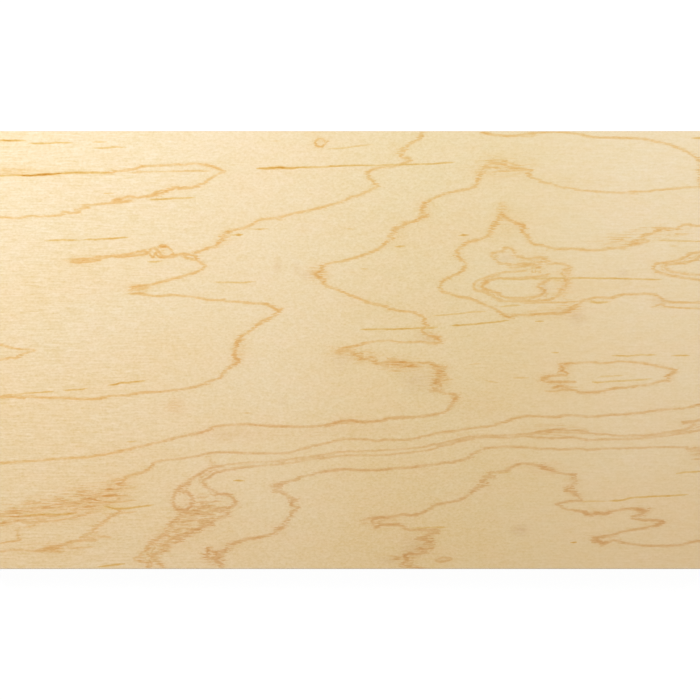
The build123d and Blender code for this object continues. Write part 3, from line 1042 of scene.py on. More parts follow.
@dataclass(frozen=True)
class Touch:
    """The feel of a surface: the strength and the depth of its relief, and how it shines.

    rough is the roughness of its smoothest places, and rough_swing is what the others add.
    """

    strength: float
    depth: float
    rough: float
    rough_swing: float = 0.14
    shine: float = 0.3

    def dress(self, wiring: Wiring, colour: Signal, coarse: Signal, height: Signal) -> None:
        """Wire the shader of a surface.

        Args:
            wiring: The tree of the material.
            colour: The colour of the surface.
            coarse: Where it is rough, from 0 to 1.
            height: The height of its relief, from 0 to 1.
        """
        bump = wiring.signal("ShaderNodeBump", {"Strength": self.strength, "Distance": self.depth * MM,
                                                "Height": height})
        shader = wiring.signal("ShaderNodeBsdfPrincipled", {
            "Base Color": colour, "Roughness": coarse * self.rough_swing + self.rough, "Normal": bump,
            "Specular IOR Level": self.shine})
        wiring.add("ShaderNodeOutputMaterial", {"Surface": shader})


def new_material(name: str) -> tuple[bpy.types.Material, Wiring]:
    """Return a new material and the wiring of its tree."""
    material = bpy.data.materials.new(name)
    material.use_nodes = True
    return material, Wiring(material.node_tree)


@dataclass(frozen=True)
class VeneerWood:
    """The sanded wood itself, without the lines of its figure.

    It runs from pale at the top edge of the sheet to warm at the bottom edge, in a slow drift.
    The warmer, darker bottom is painted shade of the light falling off across the sheet.
    Its blotches are rose, and glow is a painted shade that darkens and yellows a broad band a
    little right of the middle. The fibres show by streak_left and streak_right, from the middle
    to each end, the hairs by speckle and the clouds by mottle. warmth and cloud_hue are how far
    they act on red, green and blue.
    """

    # pale and warm are the ends of a painted shade: the sheet turns warmer and darker from its top edge to
    # its bottom edge.
    pale: Colour = (0.88, 0.722, 0.468)
    warm: Colour = (0.885, 0.657, 0.368)
    rose: Colour = (1.0, 0.985, 0.985)
    # glow is a painted shade: it darkens and yellows a broad band a little right of the middle.
    glow: Colour = (0.965, 0.955, 0.885)
    warmth: Colour = (0.8, 1.2, 2.6)
    cloud_hue: Colour = (0.0, 0.3, 1.0)
    edge_to_edge: Span = (150.0, -150.0)
    drift_share: float = 0.9
    rose_span: Span = (0.42, 0.68)
    shade_band_middle: float = 68.0
    shade_band_span: Span = (135.0, 25.0)
    left_part: Span = (-60.0, -190.0)
    right_part: Span = (40.0, 150.0)
    clear_part: Span = (40.0, 160.0)
    streak_left: Span = (0.099, 0.33)
    streak_right: Span = (0.0, 0.0396)
    speckle: Span = (0.3, 0.18)
    mottle: float = 0.14
    blotch_light: float = 0.06
    pore_span: Span = (0.64, 0.76)
    pore_dark: float = 0.05
    pore_depth: float = 0.6
    drift: Grain = Grain((95.0, 42.0, 60.0), 3.1)
    blotch: Grain = Grain((26.0, 13.0, 20.0), 11.0, 3.0, 0.6)
    fibre: Grain = Grain((13.0, 1.2, 4.0), 21.0, 3.0, 0.6)
    hair: Grain = Grain((1.8, 1.2, 1.0), 31.0, 2.0, 0.6)
    pores: Grain = Grain((2.6, 0.3, 1.0), 41.0, 1.0)
    cloud: Grain = Grain((9.0, 4.5, 5.0), 47.0, 1.0)

    def tone(self, wiring: Wiring, coords: Signal) -> tuple[Signal, Signal]:
        """Wire the colour and the relief of plain wood.

        Args:
            wiring: The tree of the material.
            coords: The place on the sheet in millimetres.

        Returns:
            The colour and the height of the fibres.
        """
        blotch = wiring.noise(coords, self.blotch)
        fibre = wiring.noise(coords, self.fibre)
        hair = wiring.noise(coords, self.hair)
        pore = wiring.ease(wiring.noise(coords, self.pores), self.pore_span)
        cloud = wiring.noise(coords, self.cloud) - 0.5
        streak, speckle = self._by_place(wiring, coords)
        light = (fibre - 0.5) * streak + (hair - 0.5) * speckle
        light = light + (blotch - 0.5) * self.blotch_light - pore * self.pore_dark
        shade = wiring.vector("MULTIPLY_ADD", light, self.warmth, (1.0, 1.0, 1.0))
        shade = wiring.vector("MULTIPLY_ADD", cloud * self.mottle, self.cloud_hue, shade)
        colour = wiring.tinted(self._ground(wiring, coords, blotch), shade)
        return colour, (fibre + hair) * 0.5 - pore * self.pore_depth

    def _by_place(self, wiring: Wiring, coords: Signal) -> tuple[Signal, Signal]:
        """Wire how strongly fibres and hairs show from one end of the sheet to the other."""
        along = wiring.split(coords)[0]
        left = wiring.ease(along, self.left_part, self.streak_left)
        right = wiring.ease(along, self.right_part, self.streak_right)
        return left + right, wiring.ease(along, self.clear_part, self.speckle)

    def _ground(self, wiring: Wiring, coords: Signal, blotch: Signal) -> Signal:
        """Wire the slow change of colour over the sheet, with its painted shade toward the bottom edge and
        in a band right of the middle.
        """
        along, across, _ = wiring.split(coords)
        # Painted shade: the colour leans from pale at the top edge to warmer and darker at the bottom
        # edge.
        shade_lean = wiring.ease(across, self.edge_to_edge, smooth=False)
        drift = wiring.noise(coords, self.drift) - 0.5
        colour = wiring.mix(shade_lean + drift * self.drift_share, self.pale, self.warm)
        colour = wiring.tinted(colour, self.rose, wiring.ease(blotch, self.rose_span))
        # Painted shade: the glow tint darkens and yellows a broad band a little right of the middle.
        return wiring.tinted(colour, self.glow, wiring.ease(abs(along - self.shade_band_middle), self.shade_band_span))


@dataclass(frozen=True)
class FaceFinish:
    """The good face: pale sanded veneer with the lines of its growth rings.

    The rings are greyer in the low part of the sheet, which low_tint is for. Where a line
    crosses the grain, rows and dash swing it to and fro along its comb reach, and the finer
    dash tears its edge. weave draws the dashes of a hatched place, and feather breaks up haze.
    """

    wood: VeneerWood = VeneerWood()
    ring_tint: Colour = (0.865, 0.615, 0.31)
    low_tint: Colour = (0.81, 0.60, 0.40)
    fleck_tint: Colour = (0.82, 0.61, 0.26)
    blush_tint: Colour = (0.90, 0.84, 0.82)
    rows: Grain = Grain((8.0, 0.9, 4.0), 51.0, 2.0, 0.55)
    dash: Grain = Grain((4.0, 0.6, 3.0), 57.0, 2.0, 0.6)
    weave: Grain = Grain((9.0, 0.8, 4.0), 67.0)
    fade: Grain = Grain((13.0, 5.0, 5.0), 61.0)
    swings: Span = (9.0, 3.0)
    mask: float = 2.0
    tear: float = 2.6
    least_tear: float = 0.9
    spread: float = 0.7
    line_span: Span = (1.15, 0.0)
    noise_span: Span = (0.3, 0.7)
    fade_range: Span = (0.55, 1.35)
    grit_range: Span = (1.25, 0.7)
    weave_span: Span = (0.52, 0.61)
    weave_range: Span = (0.0, 1.6)
    feather_span: Span = (0.35, 0.65)
    feather_range: Span = (0.5, 1.4)
    haze_depth: float = 0.3
    groove: float = 0.25
    corner_across: Span = (40.0, -90.0)
    corner_along: Span = (-190.0, -100.0)
    foot_across: Span = (-80.0, -98.0)
    foot_range: Span = (0.0, 0.5)
    touch: Touch = Touch(0.25, 0.08, 0.55)

    def build(self) -> bpy.types.Material:
        """Return the material."""
        material, wiring = new_material("sanded_face")
        coords = wiring.millimetres()
        colour, height = self.wood.tone(wiring, coords)
        rows, dash = wiring.noise(coords, self.rows), wiring.noise(coords, self.dash)
        haze, blush, hatch = self._held(wiring, "stain")
        feather = wiring.ease(rows, self.feather_span, self.feather_range)
        dashes = wiring.ease(wiring.noise(coords, self.weave), self.weave_span, self.weave_range)
        line, tint = self._line(wiring, coords, rows, dash)
        pigment = line + (haze * feather * self.haze_depth + dashes * hatch)
        colour = wiring.tinted(colour, self.blush_tint, blush * feather)
        colour = wiring.tinted(colour, self._veil(wiring, coords, tint, pigment))
        self.touch.dress(wiring, colour, height, height - pigment * self.groove)
        return material

    def _held(self, wiring: Wiring, name: str) -> tuple[Signal, ...]:
        """Return the three values that the points of the face hold under a name."""
        return wiring.split(wiring.signal("ShaderNodeAttribute", output="Vector", attribute_name=name))

    def _line(self, wiring: Wiring, coords: Signal, rows: Signal, dash: Signal) -> tuple[Signal, Signal]:
        """Wire the dark lines, which break into fibres where they cross the grain.

        Args:
            wiring: The tree of the material.
            coords: The place on the sheet in millimetres.
            rows: The pattern of the fibres.
            dash: A finer pattern of the same kind.

        Returns:
            How dark the line is, and its tint.
        """
        signed, plain, reach = self._held(wiring, "line")
        depth, tint, half = self._held(wiring, "stroke")
        swing = (rows - 0.5) * self.swings[0] + (dash - 0.5) * self.swings[1]
        offset = abs(swing * reach + signed).larger(plain - reach * self.mask)
        ragged = (dash - 0.5) * (reach * self.tear + self.least_tear)
        line = wiring.ease(offset / (reach * self.spread + half) + ragged, self.line_span)
        faded = wiring.noise(coords, self.fade)
        fade = wiring.ease(faded, self.noise_span, self.fade_range, smooth=False)
        grit = wiring.ease(dash, self.noise_span, self.grit_range, smooth=False)
        return line * (depth * fade * grit), tint

    def _veil(self, wiring: Wiring, coords: Signal, tint: Signal, pigment: Signal) -> Signal:
        """Wire the colour that the wood is seen through where it holds pigment."""
        along, across, _ = wiring.split(coords)
        corner = wiring.ease(across, self.corner_across) * wiring.ease(along, self.corner_along)
        low = corner.larger(wiring.ease(across, self.foot_across, self.foot_range))
        stain = wiring.mix(tint, wiring.mix(low, self.ring_tint, self.low_tint), self.fleck_tint)
        parts = wiring.signals("ShaderNodeSeparateColor", {0: stain}).values()
        powers = [wiring.math("POWER", part, pigment) for part in parts]
        return wiring.signal("ShaderNodeCombineColor", dict(enumerate(powers)))


@dataclass(frozen=True)
class BackFinish:
    """The back: the same veneer with a figure of its own, level lines of a slow swell."""

    # The pale and warm ends carry the same painted shade, warmer and darker toward the bottom edge.
    wood: VeneerWood = VeneerWood(pale=(0.84, 0.65, 0.40), warm=(0.80, 0.57, 0.31))
    ring_tint: Colour = (0.62, 0.41, 0.19)
    ring_pitch: float = 26.0
    swell: Grain = Grain((150.0, 55.0, 80.0), 71.0, 2.0, 0.45)
    comb: Grain = Grain((7.0, 0.9, 3.0), 81.0, 3.0, 0.6)
    fade: Grain = Grain((30.0, 9.0, 9.0), 91.0)
    swell_rings: float = 7.0
    comb_rings: float = 0.16
    line_span: Span = (0.05, 0.006)
    fade_span: Span = (0.3, 0.65)
    fade_range: Span = (0.35, 0.8)
    touch: Touch = Touch(0.35, 0.1, 0.6)

    def build(self) -> bpy.types.Material:
        """Return the material."""
        material, wiring = new_material("sanded_back")
        coords = wiring.millimetres()
        colour, height = self.wood.tone(wiring, coords)
        across = wiring.split(coords)[1]
        swell, comb, fade = (wiring.noise(coords, grain) for grain in (self.swell, self.comb, self.fade))
        level = comb * self.comb_rings + (swell * self.swell_rings + across / self.ring_pitch)
        edge = abs(level % 1.0 - 0.5)
        line = wiring.ease(edge, self.line_span) * wiring.ease(fade, self.fade_span, self.fade_range)
        colour = wiring.tinted(colour, self.ring_tint, line)
        self.touch.dress(wiring, colour, height, height)
        return material


class Run(Enum):
    """Which way a sawn edge runs, with the axis along it and the parity of its long-grain plies."""

    LONG = (0, 0.0)
    SHORT = (1, 1.0)


@dataclass(frozen=True)
class EdgeFinish:
    """A sawn edge, where long-grain and end-grain plies take turns between glue lines.

    streak and fuzz are the wood of the two kinds of ply, year and pore belong to end grain, saw
    is what the blade left, and worn is where a glue line shows less. A light is how far each
    changes the brightness, with ply_light for the chance of one ply.
    """

    run: Run
    thickness: float
    ply_count: int
    long_grain: Colour = (0.80, 0.60, 0.35)
    end_grain: Colour = (0.53, 0.345, 0.18)
    glue: Colour = (0.16, 0.085, 0.04)
    streak: Grain = Grain((16.0, 0.28, 1.0), 5.0, 3.0, 0.6)
    fuzz: Grain = Grain((0.42, 0.36, 1.0), 9.0, 3.0, 0.7)
    year: Grain = Grain((4.5, 1.1, 1.0), 13.0, 1.0)
    saw: Grain = Grain((1.1, 60.0, 1.0), 17.0, 2.0, 0.7)
    worn: Grain = Grain((9.0, 2.0, 1.0), 23.0)
    waver: float = 0.16
    pore_scale: float = 2.6
    pore_span: Span = (0.3, 0.12)
    plain_light: float = 0.83
    streak_light: float = 0.34
    end_light: float = 0.62
    year_light: float = 0.3
    fuzz_light: float = 0.42
    pore_light: float = 0.28
    ply_light: float = 0.2
    saw_light: float = 0.16
    seam_span: Span = (0.40, 0.47)
    worn_span: Span = (0.3, 0.6)
    worn_range: Span = (0.45, 0.9)
    touch: Touch = Touch(0.6, 0.15, 0.66, shine=0.25)

    def build(self) -> bpy.types.Material:
        """Return the material."""
        axis, first_end = self.run.value
        material, wiring = new_material(f"sawn_edge_{self.run.name.lower()}")
        parts = wiring.split(wiring.millimetres())
        along, height = parts[axis], parts[2]
        flat = wiring.join(along, height)
        level = self._level(wiring, flat, height, axis)
        ply = level.floor()
        is_end = ((ply + first_end) % 2.0).above(0.5)
        chance = wiring.signal("ShaderNodeTexWhiteNoise", {"W": ply + (7.3 + axis)}, "Value",
                               noise_dimensions="1D")
        own = wiring.join(along, height, ply * 3.0)
        streak, fuzz, year = (wiring.noise(own, grain) for grain in (self.streak, self.fuzz, self.year))
        cells = {"Vector": own, "Scale": self.pore_scale}
        pores = wiring.signal("ShaderNodeTexVoronoi", cells, "Distance")
        pore = wiring.ease(pores, self.pore_span) * is_end
        saw = wiring.noise(flat, self.saw)
        plain = streak * self.streak_light + self.plain_light
        sawn = fuzz * self.fuzz_light + (year * self.year_light + self.end_light)
        light = plain * (1.0 - is_end) + sawn * is_end - pore * self.pore_light
        light = light + (chance - 0.5) * self.ply_light + (saw - 0.5) * self.saw_light
        colour = wiring.tinted(wiring.mix(is_end, self.long_grain, self.end_grain), light)
        colour = wiring.mix(self._seam(wiring, flat, level), colour, self.glue)
        relief = saw * 0.8 + streak * 0.3 + fuzz * is_end - pore
        self.touch.dress(wiring, colour, is_end, relief)
        return material

    def _level(self, wiring: Wiring, flat: Signal, height: Signal, axis: int) -> Signal:
        """Wire the height as a number of plies, which waver a little along the edge."""
        waver = wiring.noise(flat, Grain((38.0, 6.0, 1.0), 2.0 + axis, 3.0)) - 0.5
        level = (waver * self.waver + height) * (self.ply_count / self.thickness)
        return level.larger(0.01).smaller(self.ply_count - 0.01)

    def _seam(self, wiring: Wiring, flat: Signal, level: Signal) -> Signal:
        """Wire how dark the glue line is between two plies."""
        beside = abs(level % 1.0 - 0.5)
        worn = wiring.ease(wiring.noise(flat, self.worn), self.worn_span, self.worn_range)
        inside = level.above(0.5) * level.below(self.ply_count - 0.5)
        return wiring.ease(beside, self.seam_span) * worn * inside


@dataclass
class SawnEdges:
    """The four sawn edges with their eased arrises and the hairline at each glue line."""

    length: float
    width: float
    thickness: float
    ply_count: int = 13
    corner_radius: float = 0.8
    arris_radius: float = 0.4
    hairline_width: float = 0.12
    hairline_depth: float = 0.1
    arc_steps: int = 4
    run_cuts: int = 31

    def build(self, long_edge: bpy.types.Material, short_edge: bpy.types.Material) -> bpy.types.Mesh:
        """Return the swept edges as a plain mesh.

        Args:
            long_edge: The finish of the edges along the grain of the face.
            short_edge: The finish of the edges across it.

        Returns:
            The mesh, in metres.
        """
        lengths = {"Length": self.length, "Width": self.width, "Thickness": self.thickness,
                   "Corner Radius": self.corner_radius, "Arris Radius": self.arris_radius,
                   "Hairline Width": self.hairline_width, "Hairline Depth": self.hairline_depth}
        counts = {"Plies": self.ply_count, "Arc Steps": self.arc_steps, "Run Cuts": self.run_cuts}
        finishes = {"Long Edge": long_edge, "Short Edge": short_edge}
        tree = bpy.data.node_groups.new("sawn_edges", "GeometryNodeTree")
        for kind, names in (("Float", lengths), ("Int", counts), ("Material", finishes)):
            for name in names:
                tree.interface.new_socket(name, in_out="INPUT", socket_type=f"NodeSocket{kind}")
        tree.interface.new_socket("Geometry", in_out="OUTPUT", socket_type="NodeSocketGeometry")
        self._sweep(Wiring(tree))
        carrier = bpy.data.objects.new("edge_sweep", bpy.data.meshes.new("edge_sweep"))
        bpy.context.scene.collection.objects.link(carrier)
        modifier = carrier.modifiers.new("sweep", "NODES")
        modifier.node_group = tree
        values = {name: size * MM for name, size in lengths.items()} | counts | finishes
        for socket in tree.interface.items_tree:
            if socket.in_out == "INPUT":
                modifier[socket.identifier] = values[socket.name]
        graph = bpy.context.evaluated_depsgraph_get()
        mesh = bpy.data.meshes.new_from_object(carrier.evaluated_get(graph))
        bpy.data.objects.remove(carrier)
        return mesh

    def _sweep(self, wiring: Wiring) -> None:
        """Wire the sweep of the edge's profile round the outline, and its finishes."""
        given = wiring.signals("NodeGroupInput")
        path = self._outline(wiring, given)
        joined = wiring.add("GeometryNodeJoinGeometry")
        for profile in (self._arris(wiring, given, at_top=False), self._plies(wiring, given),
                        self._arris(wiring, given, at_top=True)):
            swept = wiring.signal("GeometryNodeCurveToMesh", {"Curve": path, "Profile Curve": profile})
            wiring.feed(joined.inputs[0], swept)
        near = 0.001 * MM
        merged = wiring.signal("GeometryNodeMergeByDistance", {
            "Geometry": Signal(wiring, joined.outputs[0]), "Distance": near})
        # The sweep hangs the profile upside down
        band = wiring.signal("GeometryNodeTransform", {"Geometry": merged, "Scale": (1.0, 1.0, -1.0)})
        normal = wiring.split(wiring.signal("GeometryNodeInputNormal"))
        is_long = abs(normal[1]).above(abs(normal[0]))
        for finish, chosen in (("Short Edge", True), ("Long Edge", is_long)):
            band = wiring.signal("GeometryNodeSetMaterial", {"Geometry": band, "Selection": chosen,
                                                             "Material": given[finish]})
        wiring.add("NodeGroupOutput", {0: band})

    def _outline(self, wiring: Wiring, given: dict[str, Signal]) -> Signal:
        """Wire the rounded rectangle that the profile follows."""
        blank = wiring.signal("GeometryNodeCurvePrimitiveQuadrilateral",
                              {"Width": given["Length"], "Height": given["Width"]}, mode="RECTANGLE")
        cut = wiring.signal("GeometryNodeSubdivideCurve", {"Curve": blank, "Cuts": given["Run Cuts"]})
        place = wiring.split(wiring.signal("GeometryNodeInputPosition"))
        room = 0.5 * MM
        at_end = abs(place[0]).above(given["Length"] * 0.5 - room)
        at_side = abs(place[1]).above(given["Width"] * 0.5 - room)
        eased = wiring.signal("GeometryNodeFilletCurve", {
            "Curve": cut, "Radius": at_end * at_side * given["Corner Radius"],
            "Count": given["Arc Steps"]}, mode="POLY")
        return wiring.signal("GeometryNodeSetCurveNormal", {"Curve": eased}, mode="Z_UP")

    def _arris(self, wiring: Wiring, given: dict[str, Signal], at_top: bool) -> Signal:
        """Wire the quarter round where a face meets an edge."""
        quarter = math.pi / 2
        radius = given["Arris Radius"]
        arc = wiring.signal("GeometryNodeCurveArc", {
            "Resolution": given["Arc Steps"] + 1, "Radius": radius,
            "Start Angle": 0.0 if at_top else -quarter, "Sweep Angle": quarter}, mode="RADIUS")
        level = given["Thickness"] - radius if at_top else radius
        return wiring.signal("GeometryNodeTransform", {"Geometry": arc,
                                                       "Translation": wiring.join(radius * -1.0, level)})

    def _plies(self, wiring: Wiring, given: dict[str, Signal]) -> Signal:
        """Wire the upright run between the arrises, with a notch of four corners at each glue line."""
        count = (given["Plies"] - 1) * 4 + 2
        rail = wiring.signal("GeometryNodeMeshLine", {"Count": count, "Offset": (0.0, MM, 0.0)})
        index = wiring.signal("GeometryNodeInputIndex")
        step = index - 1
        notch = (step / 4).floor() + 1
        corner = step % 4
        inner = corner.above(0.5) * corner.below(2.5)
        is_foot = index.below(0.5)
        is_head = index.above(count - 1.5)
        keep = 1.0 - (is_foot + is_head)
        pitch = given["Thickness"] / given["Plies"]
        notch_height = notch * pitch + (corner.above(1.5) - 0.5) * given["Hairline Width"]
        top = given["Thickness"] - given["Arris Radius"]
        end_height = is_foot * given["Arris Radius"] + is_head * top
        inset = inner * given["Hairline Depth"] * keep * -1.0
        place = wiring.join(inset, notch_height * keep + end_height)
        moved = wiring.signal("GeometryNodeSetPosition", {"Geometry": rail, "Position": place})
        return wiring.signal("GeometryNodeMeshToCurve", {0: moved})


@dataclass
class PlywoodSheet:
    """The whole sheet, one closed mesh with a finish for each kind of surface.

    guide_spacing is between two points along a line of the figure, and a room is how near two
    points of the face may come. The good face has a row of points at border_gap from its rim,
    and none nearer than rim_gap. Heights that differ by less than hair count as the same.
    """

    edges: SawnEdges
    figure: VeneerFigure
    guide_spacing: float = 0.75
    core_room: float = 0.28
    flank_room: float = 0.42
    field_step: float = 2.4
    field_room: float = 1.1
    back_step: float = 7.0
    border_gap: float = 0.3
    border_step: float = 1.2
    rim_gap: float = 0.24
    hair: float = 0.01

    def build(self) -> bpy.types.Object:
        """Return the finished object."""
        thickness = self.edges.thickness
        long_edge, short_edge = (EdgeFinish(run, thickness, self.edges.ply_count).build() for run in Run)
        finishes = (FaceFinish().build(), BackFinish().build(), long_edge, short_edge)
        band = self.edges.build(long_edge, short_edge)
        corners = np.array([vertex.co[:] for vertex in band.vertices]) / MM
        band_faces = [tuple(polygon.vertices) for polygon in band.polygons]
        offset = len(corners)
        top_places, top_faces = self._cover(corners, band_faces, thickness, self._face_points(), offset)
        offset += len(top_places)
        grid = self._grid(self.back_step)
        back_places, back_faces = self._cover(corners, band_faces, 0.0, grid, offset)
        back_faces = [face[::-1] for face in back_faces]
        places = np.vstack((corners, top_places, back_places))
        faces = self._outwards(places, band_faces) + top_faces + back_faces
        mesh = bpy.data.meshes.new(PIECE)
        mesh.from_pydata([tuple(place * MM) for place in places], [], faces)
        for finish in finishes:
            mesh.materials.append(finish)
        numbers = {finish.name: index for index, finish in enumerate(finishes)}
        slots = [numbers[band.materials[polygon.material_index].name] for polygon in band.polygons]
        slots += [0] * len(top_faces) + [1] * len(back_faces)
        mesh.polygons.foreach_set("material_index", slots)
        self._store_figure(mesh, places)
        self._lay_out(mesh, places, slots)
        mesh.validate()
        mesh.update()
        log.info("sheet: %d points, %d faces, %d of them on the good face",
                 len(places), len(faces), len(top_faces))
        sheet = bpy.data.objects.new(PIECE, mesh)
        bpy.context.scene.collection.objects.link(sheet)
        return sheet

    def _rim(self, corners: np.ndarray, faces: list[Face], level: float) -> list[int]:
        """Return the corners of the open rim at one height, in order round the sheet."""
        uses: dict[tuple[int, int], int] = {}
        for face in faces:
            for start, end in zip(face, face[1:] + face[:1]):
                key = (min(start, end), max(start, end))
                uses[key] = uses.get(key, 0) + 1
        at_level = np.abs(corners[:, 2] - level) < self.hair
        links: dict[int, list[int]] = {}
        for (start, end), number in uses.items():
            if number == 1 and at_level[start] and at_level[end]:
                links.setdefault(start, []).append(end)
                links.setdefault(end, []).append(start)
        first = min(links)
        loop = [first, links[first][0]]
        while True:
            following = [end for end in links[loop[-1]] if end != loop[-2]][0]
            if following == first:
                return loop
            loop.append(following)

    def _grid(self, step: float) -> list[Place]:
        """Return a staggered grid of points over the sheet."""
        length, width = self.edges.length, self.edges.width
        rows, columns = round(width / step), round(length / step)
        return [((column + 0.5 * (row % 2) - 0.25) / columns * length - length / 2,
                 row / rows * width - width / 2)
                for row in range(1, rows) for column in range(1, columns)]

    def _half_sizes(self, gap: float) -> Place:
        """Return half the length and half the width of the flat part of a face, less a gap."""
        inset = self.edges.arris_radius + gap
        return self.edges.length / 2 - inset, self.edges.width / 2 - inset

    def _border(self) -> list[Place]:
        """Return a row of points just inside the rim of the good face."""
        half_length, half_width = self._half_sizes(self.border_gap)
        points = []
        for half, other, swap in ((half_length, half_width, False), (half_width, half_length, True)):
            count = round(2 * half / self.border_step)
            for step in range(count):
                run = -half + 2 * half * step / count
                for place in ((run, other), (-run, -other)):
                    points.append((place[1], -place[0]) if swap else place)
        return points

    def _face_points(self) -> list[Place]:
        """Return the points inside the good face, none too near to another."""
        cores, beside = self.figure.guide_points(self.guide_spacing)
        cell = self.field_room
        taken: dict[tuple[int, int], list[Place]] = {}
        kept: list[Place] = []
        half_length, half_width = self._half_sizes(self.rim_gap)
        batches = ((self._border(), self.core_room), (cores, self.core_room), (beside, self.flank_room),
                   (self._grid(self.field_step), self.field_room))
        for batch, room in batches:
            for x, y in batch:
                if abs(x) > half_length or abs(y) > half_width:
                    continue
                column, row = math.floor(x / cell), math.floor(y / cell)
                near = (place for i in (-1, 0, 1) for j in (-1, 0, 1)
                        for place in taken.get((column + i, row + j), ()))
                if any((x - px) ** 2 + (y - py) ** 2 < room * room for px, py in near):
                    continue
                taken.setdefault((column, row), []).append((x, y))
                kept.append((x, y))
        return kept

    def _cover(self, corners: np.ndarray, band_faces: list[Face], level: float, inside: list[Place],
               offset: int) -> tuple[np.ndarray, list[Face]]:
        """Cover the open rim at one height with triangles that face up.

        Args:
            corners: The corners of the swept edges.
            band_faces: Their faces.
            level: The height of the rim.
            inside: The points inside the rim.
            offset: The number of the first new point.

        Returns:
            The points inside the rim that were used, and the triangles. Their numbers count the
            points of the whole sheet.
        """
        loop = self._rim(corners, band_faces, level)
        count = len(loop)
        points = [Vector(corners[index, :2]) for index in loop] + [Vector(place) for place in inside]
        outline = [(index, (index + 1) % count) for index in range(count)]
        only_inside, snap = 1, 1e-5
        result = delaunay_2d_cdt(points, outline, [], only_inside, snap)
        order = [sources[0] for sources in result[3]]
        used = sorted({index for index in order if index >= count})
        numbers = dict(enumerate(loop))
        numbers.update({index: offset + position for position, index in enumerate(used)})
        places = np.array([(*inside[index - count], level) for index in used])
        return places, [tuple(numbers[order[index]] for index in face) for face in result[2]]

    def _outwards(self, places: np.ndarray, faces: list[Face]) -> list[Face]:
        """Return the faces of the edges, all turned to point out of the sheet."""
        volume = 0.0
        for face in faces:
            first, second, third = (places[index] for index in face[:3])
            normal = np.cross(second - first, third - first)
            volume += float(normal[0] * first[0] + normal[1] * first[1])
        return faces if volume > 0 else [face[::-1] for face in faces]

    def _store_figure(self, mesh: bpy.types.Mesh, places: np.ndarray) -> None:
        """Write the values of the figure to the points of the good face."""
        on_top = np.abs(places[:, 2] - self.edges.thickness) < self.hair
        for name, found in self.figure.values_at(places[on_top, :2]).items():
            values = np.zeros((len(places), 3))
            values[on_top] = found
            attribute = mesh.attributes.new(name, "FLOAT_VECTOR", "POINT")
            attribute.data.foreach_set("vector", values.ravel())

    def _lay_out(self, mesh: bpy.types.Mesh, places: np.ndarray, slots: list[int]) -> None:
        """Give the sheet a flat layout in which the good face has the most room."""
        corners = np.zeros(len(mesh.loops), dtype=int)
        mesh.loops.foreach_get("vertex_index", corners)
        sizes = np.zeros(len(mesh.polygons), dtype=int)
        mesh.polygons.foreach_get("loop_total", sizes)
        slot = np.repeat(np.array(slots), sizes)
        starts = np.concatenate(([0], np.cumsum(sizes)[:-1]))
        place = places[corners]
        centre = np.repeat(np.add.reduceat(place, starts) / sizes[:, None], sizes, axis=0)
        half = np.array((self.edges.length / 2, self.edges.width / 2, 0.0))
        margin, left, face_share, back_share = 0.004, 0.01, 0.98, 0.36
        face_scale, back_scale = face_share / self.edges.length, back_share / self.edges.length
        face_foot = 1.0 - margin - self.edges.width * face_scale
        layout = (left, face_foot) + (place + half)[:, :2] * face_scale
        on_back = slot == 1
        flipped = (place * (1, -1, 1) + half)[on_back, :2]
        layout[on_back] = (left, margin) + flipped * back_scale
        strip = self.edges.thickness * face_scale + 2 * margin
        foot = face_foot
        for number, axis in ((2, 0), (3, 1)):
            for side in (-1, 1):
                chosen = (slot == number) & (np.sign(centre[:, 1 - axis]) == side)
                foot -= strip
                layout[chosen, 0] = left + (place + half)[chosen, axis] * face_scale
                layout[chosen, 1] = foot + margin + place[chosen, 2] * face_scale
        layer = mesh.uv_layers.new(name="OFBake")
        layer.data.foreach_set("uv", layout.ravel())


@dataclass(frozen=True)
class Lamp:
    """A square lamp that looks at the middle of the sheet. Its lengths are in metres."""

    name: str
    place: tuple[float, float, float]
    size: float
    power: float

    def hang(self, target: Vector) -> None:
        """Make the lamp, turned to its target."""
        data = bpy.data.lights.new(self.name, "AREA")
        data.size = self.size
        data.energy = self.power
        lamp = bpy.data.objects.new(self.name, data)
        lamp.location = self.place
        lamp.rotation_euler = (target - Vector(self.place)).to_track_quat("-Z", "Y").to_euler()
        bpy.context.scene.collection.objects.link(lamp)


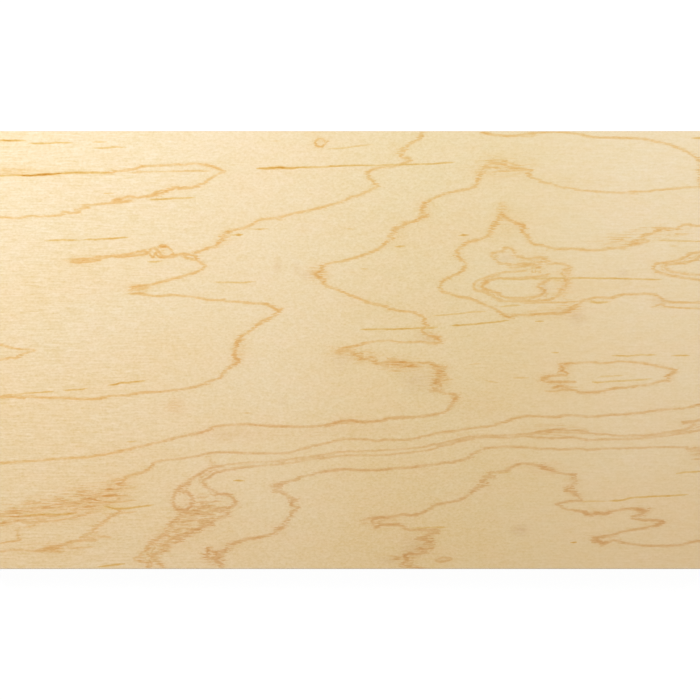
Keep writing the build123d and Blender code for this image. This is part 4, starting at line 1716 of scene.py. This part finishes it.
@dataclass
class Studio:
    """The pale floor, the lamps, the world and the camera straight above the sheet."""

    sheet_width: float
    face_height: float
    photo: PhotoFrame = PhotoFrame()
    lens: float = 85.0
    sensor: float = 36.0
    floor_side: float = 12.0
    floor_glow: float = 0.96
    floor_matt: float = 0.10
    floor_plain: Colour = (0.72, 0.72, 0.71)
    room_light: float = 0.284
    lamps: tuple[Lamp, ...] = (Lamp("key_lamp", (-0.6, 0.7, 0.8), 0.5, 12.2),
                               Lamp("fill_lamp", (0.7, 0.4, 0.35), 0.3, 2.05))

    def build(self) -> None:
        """Make everything round the sheet."""
        self._floor()
        self._world()
        for lamp in self.lamps:
            lamp.hang(Vector((0.0, 0.0, self.face_height * MM)))
        self._camera()

    def _floor(self) -> None:
        """Lay a white floor that shows white to the camera and keeps the sheet's shadow."""
        half = self.floor_side / 2
        mesh = bpy.data.meshes.new("floor")
        mesh.from_pydata([(-half, -half, 0.0), (half, -half, 0.0), (half, half, 0.0), (-half, half, 0.0)],
                         [], [(0, 1, 2, 3)])
        floor = bpy.data.objects.new("floor", mesh)
        bpy.context.scene.collection.objects.link(floor)
        material, wiring = new_material("pale_floor")
        matt = wiring.signal("ShaderNodeBsdfDiffuse", {"Color": (*[self.floor_matt] * 3, 1.0)})
        glow = wiring.signal("ShaderNodeEmission", {"Color": WHITE, "Strength": self.floor_glow})
        shown = wiring.signal("ShaderNodeAddShader", {0: matt, 1: glow})
        plain = wiring.signal("ShaderNodeBsdfDiffuse", {"Color": (*self.floor_plain, 1.0)})
        mixed = wiring.signal("ShaderNodeMixShader", {0: wiring.seen(), 1: plain, 2: shown})
        wiring.add("ShaderNodeOutputMaterial", {"Surface": mixed})
        mesh.materials.append(material)

    def _world(self) -> None:
        """Give the room a soft even light, and white where the camera sees past the floor."""
        world = bpy.data.worlds.new("soft_room")
        world.use_nodes = True
        bpy.context.scene.world = world
        wiring = Wiring(world.node_tree)
        room, white = (wiring.signal("ShaderNodeBackground", {"Color": WHITE, "Strength": strength})
                       for strength in (self.room_light, 1.0))
        mixed = wiring.signal("ShaderNodeMixShader", {0: wiring.seen(), 1: room, 2: white})
        wiring.add("ShaderNodeOutputWorld", {"Surface": mixed})

    def _camera(self) -> None:
        """Put the camera straight above the middle of the face, with the photograph's framing."""
        data = bpy.data.cameras.new("camera")
        data.lens = self.lens
        data.sensor_width = self.sensor
        frame_side = self.photo.frame_side * self.photo.pixel(self.sheet_width) * MM
        distance = frame_side / self.sensor * self.lens
        camera = bpy.data.objects.new("camera", data)
        camera.location = (0.0, 0.0, self.face_height * MM + distance)
        bpy.context.scene.collection.objects.link(camera)
        bpy.context.scene.camera = camera


def main() -> None:
    """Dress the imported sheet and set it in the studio."""
    logging.basicConfig(level=logging.INFO, format="%(message)s")
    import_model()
    low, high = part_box(NODE)
    length, width, thickness = ((high[part] - low[part]) / MM for part in range(3))
    sheet = PlywoodSheet(SawnEdges(length, width, thickness), VeneerFigure(width)).build()
    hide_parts(NODE)
    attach(sheet, "root")
    Studio(width, thickness).build()
    bpy.context.scene.view_settings.view_transform = "Standard"


if __name__ == "__main__":
    main()
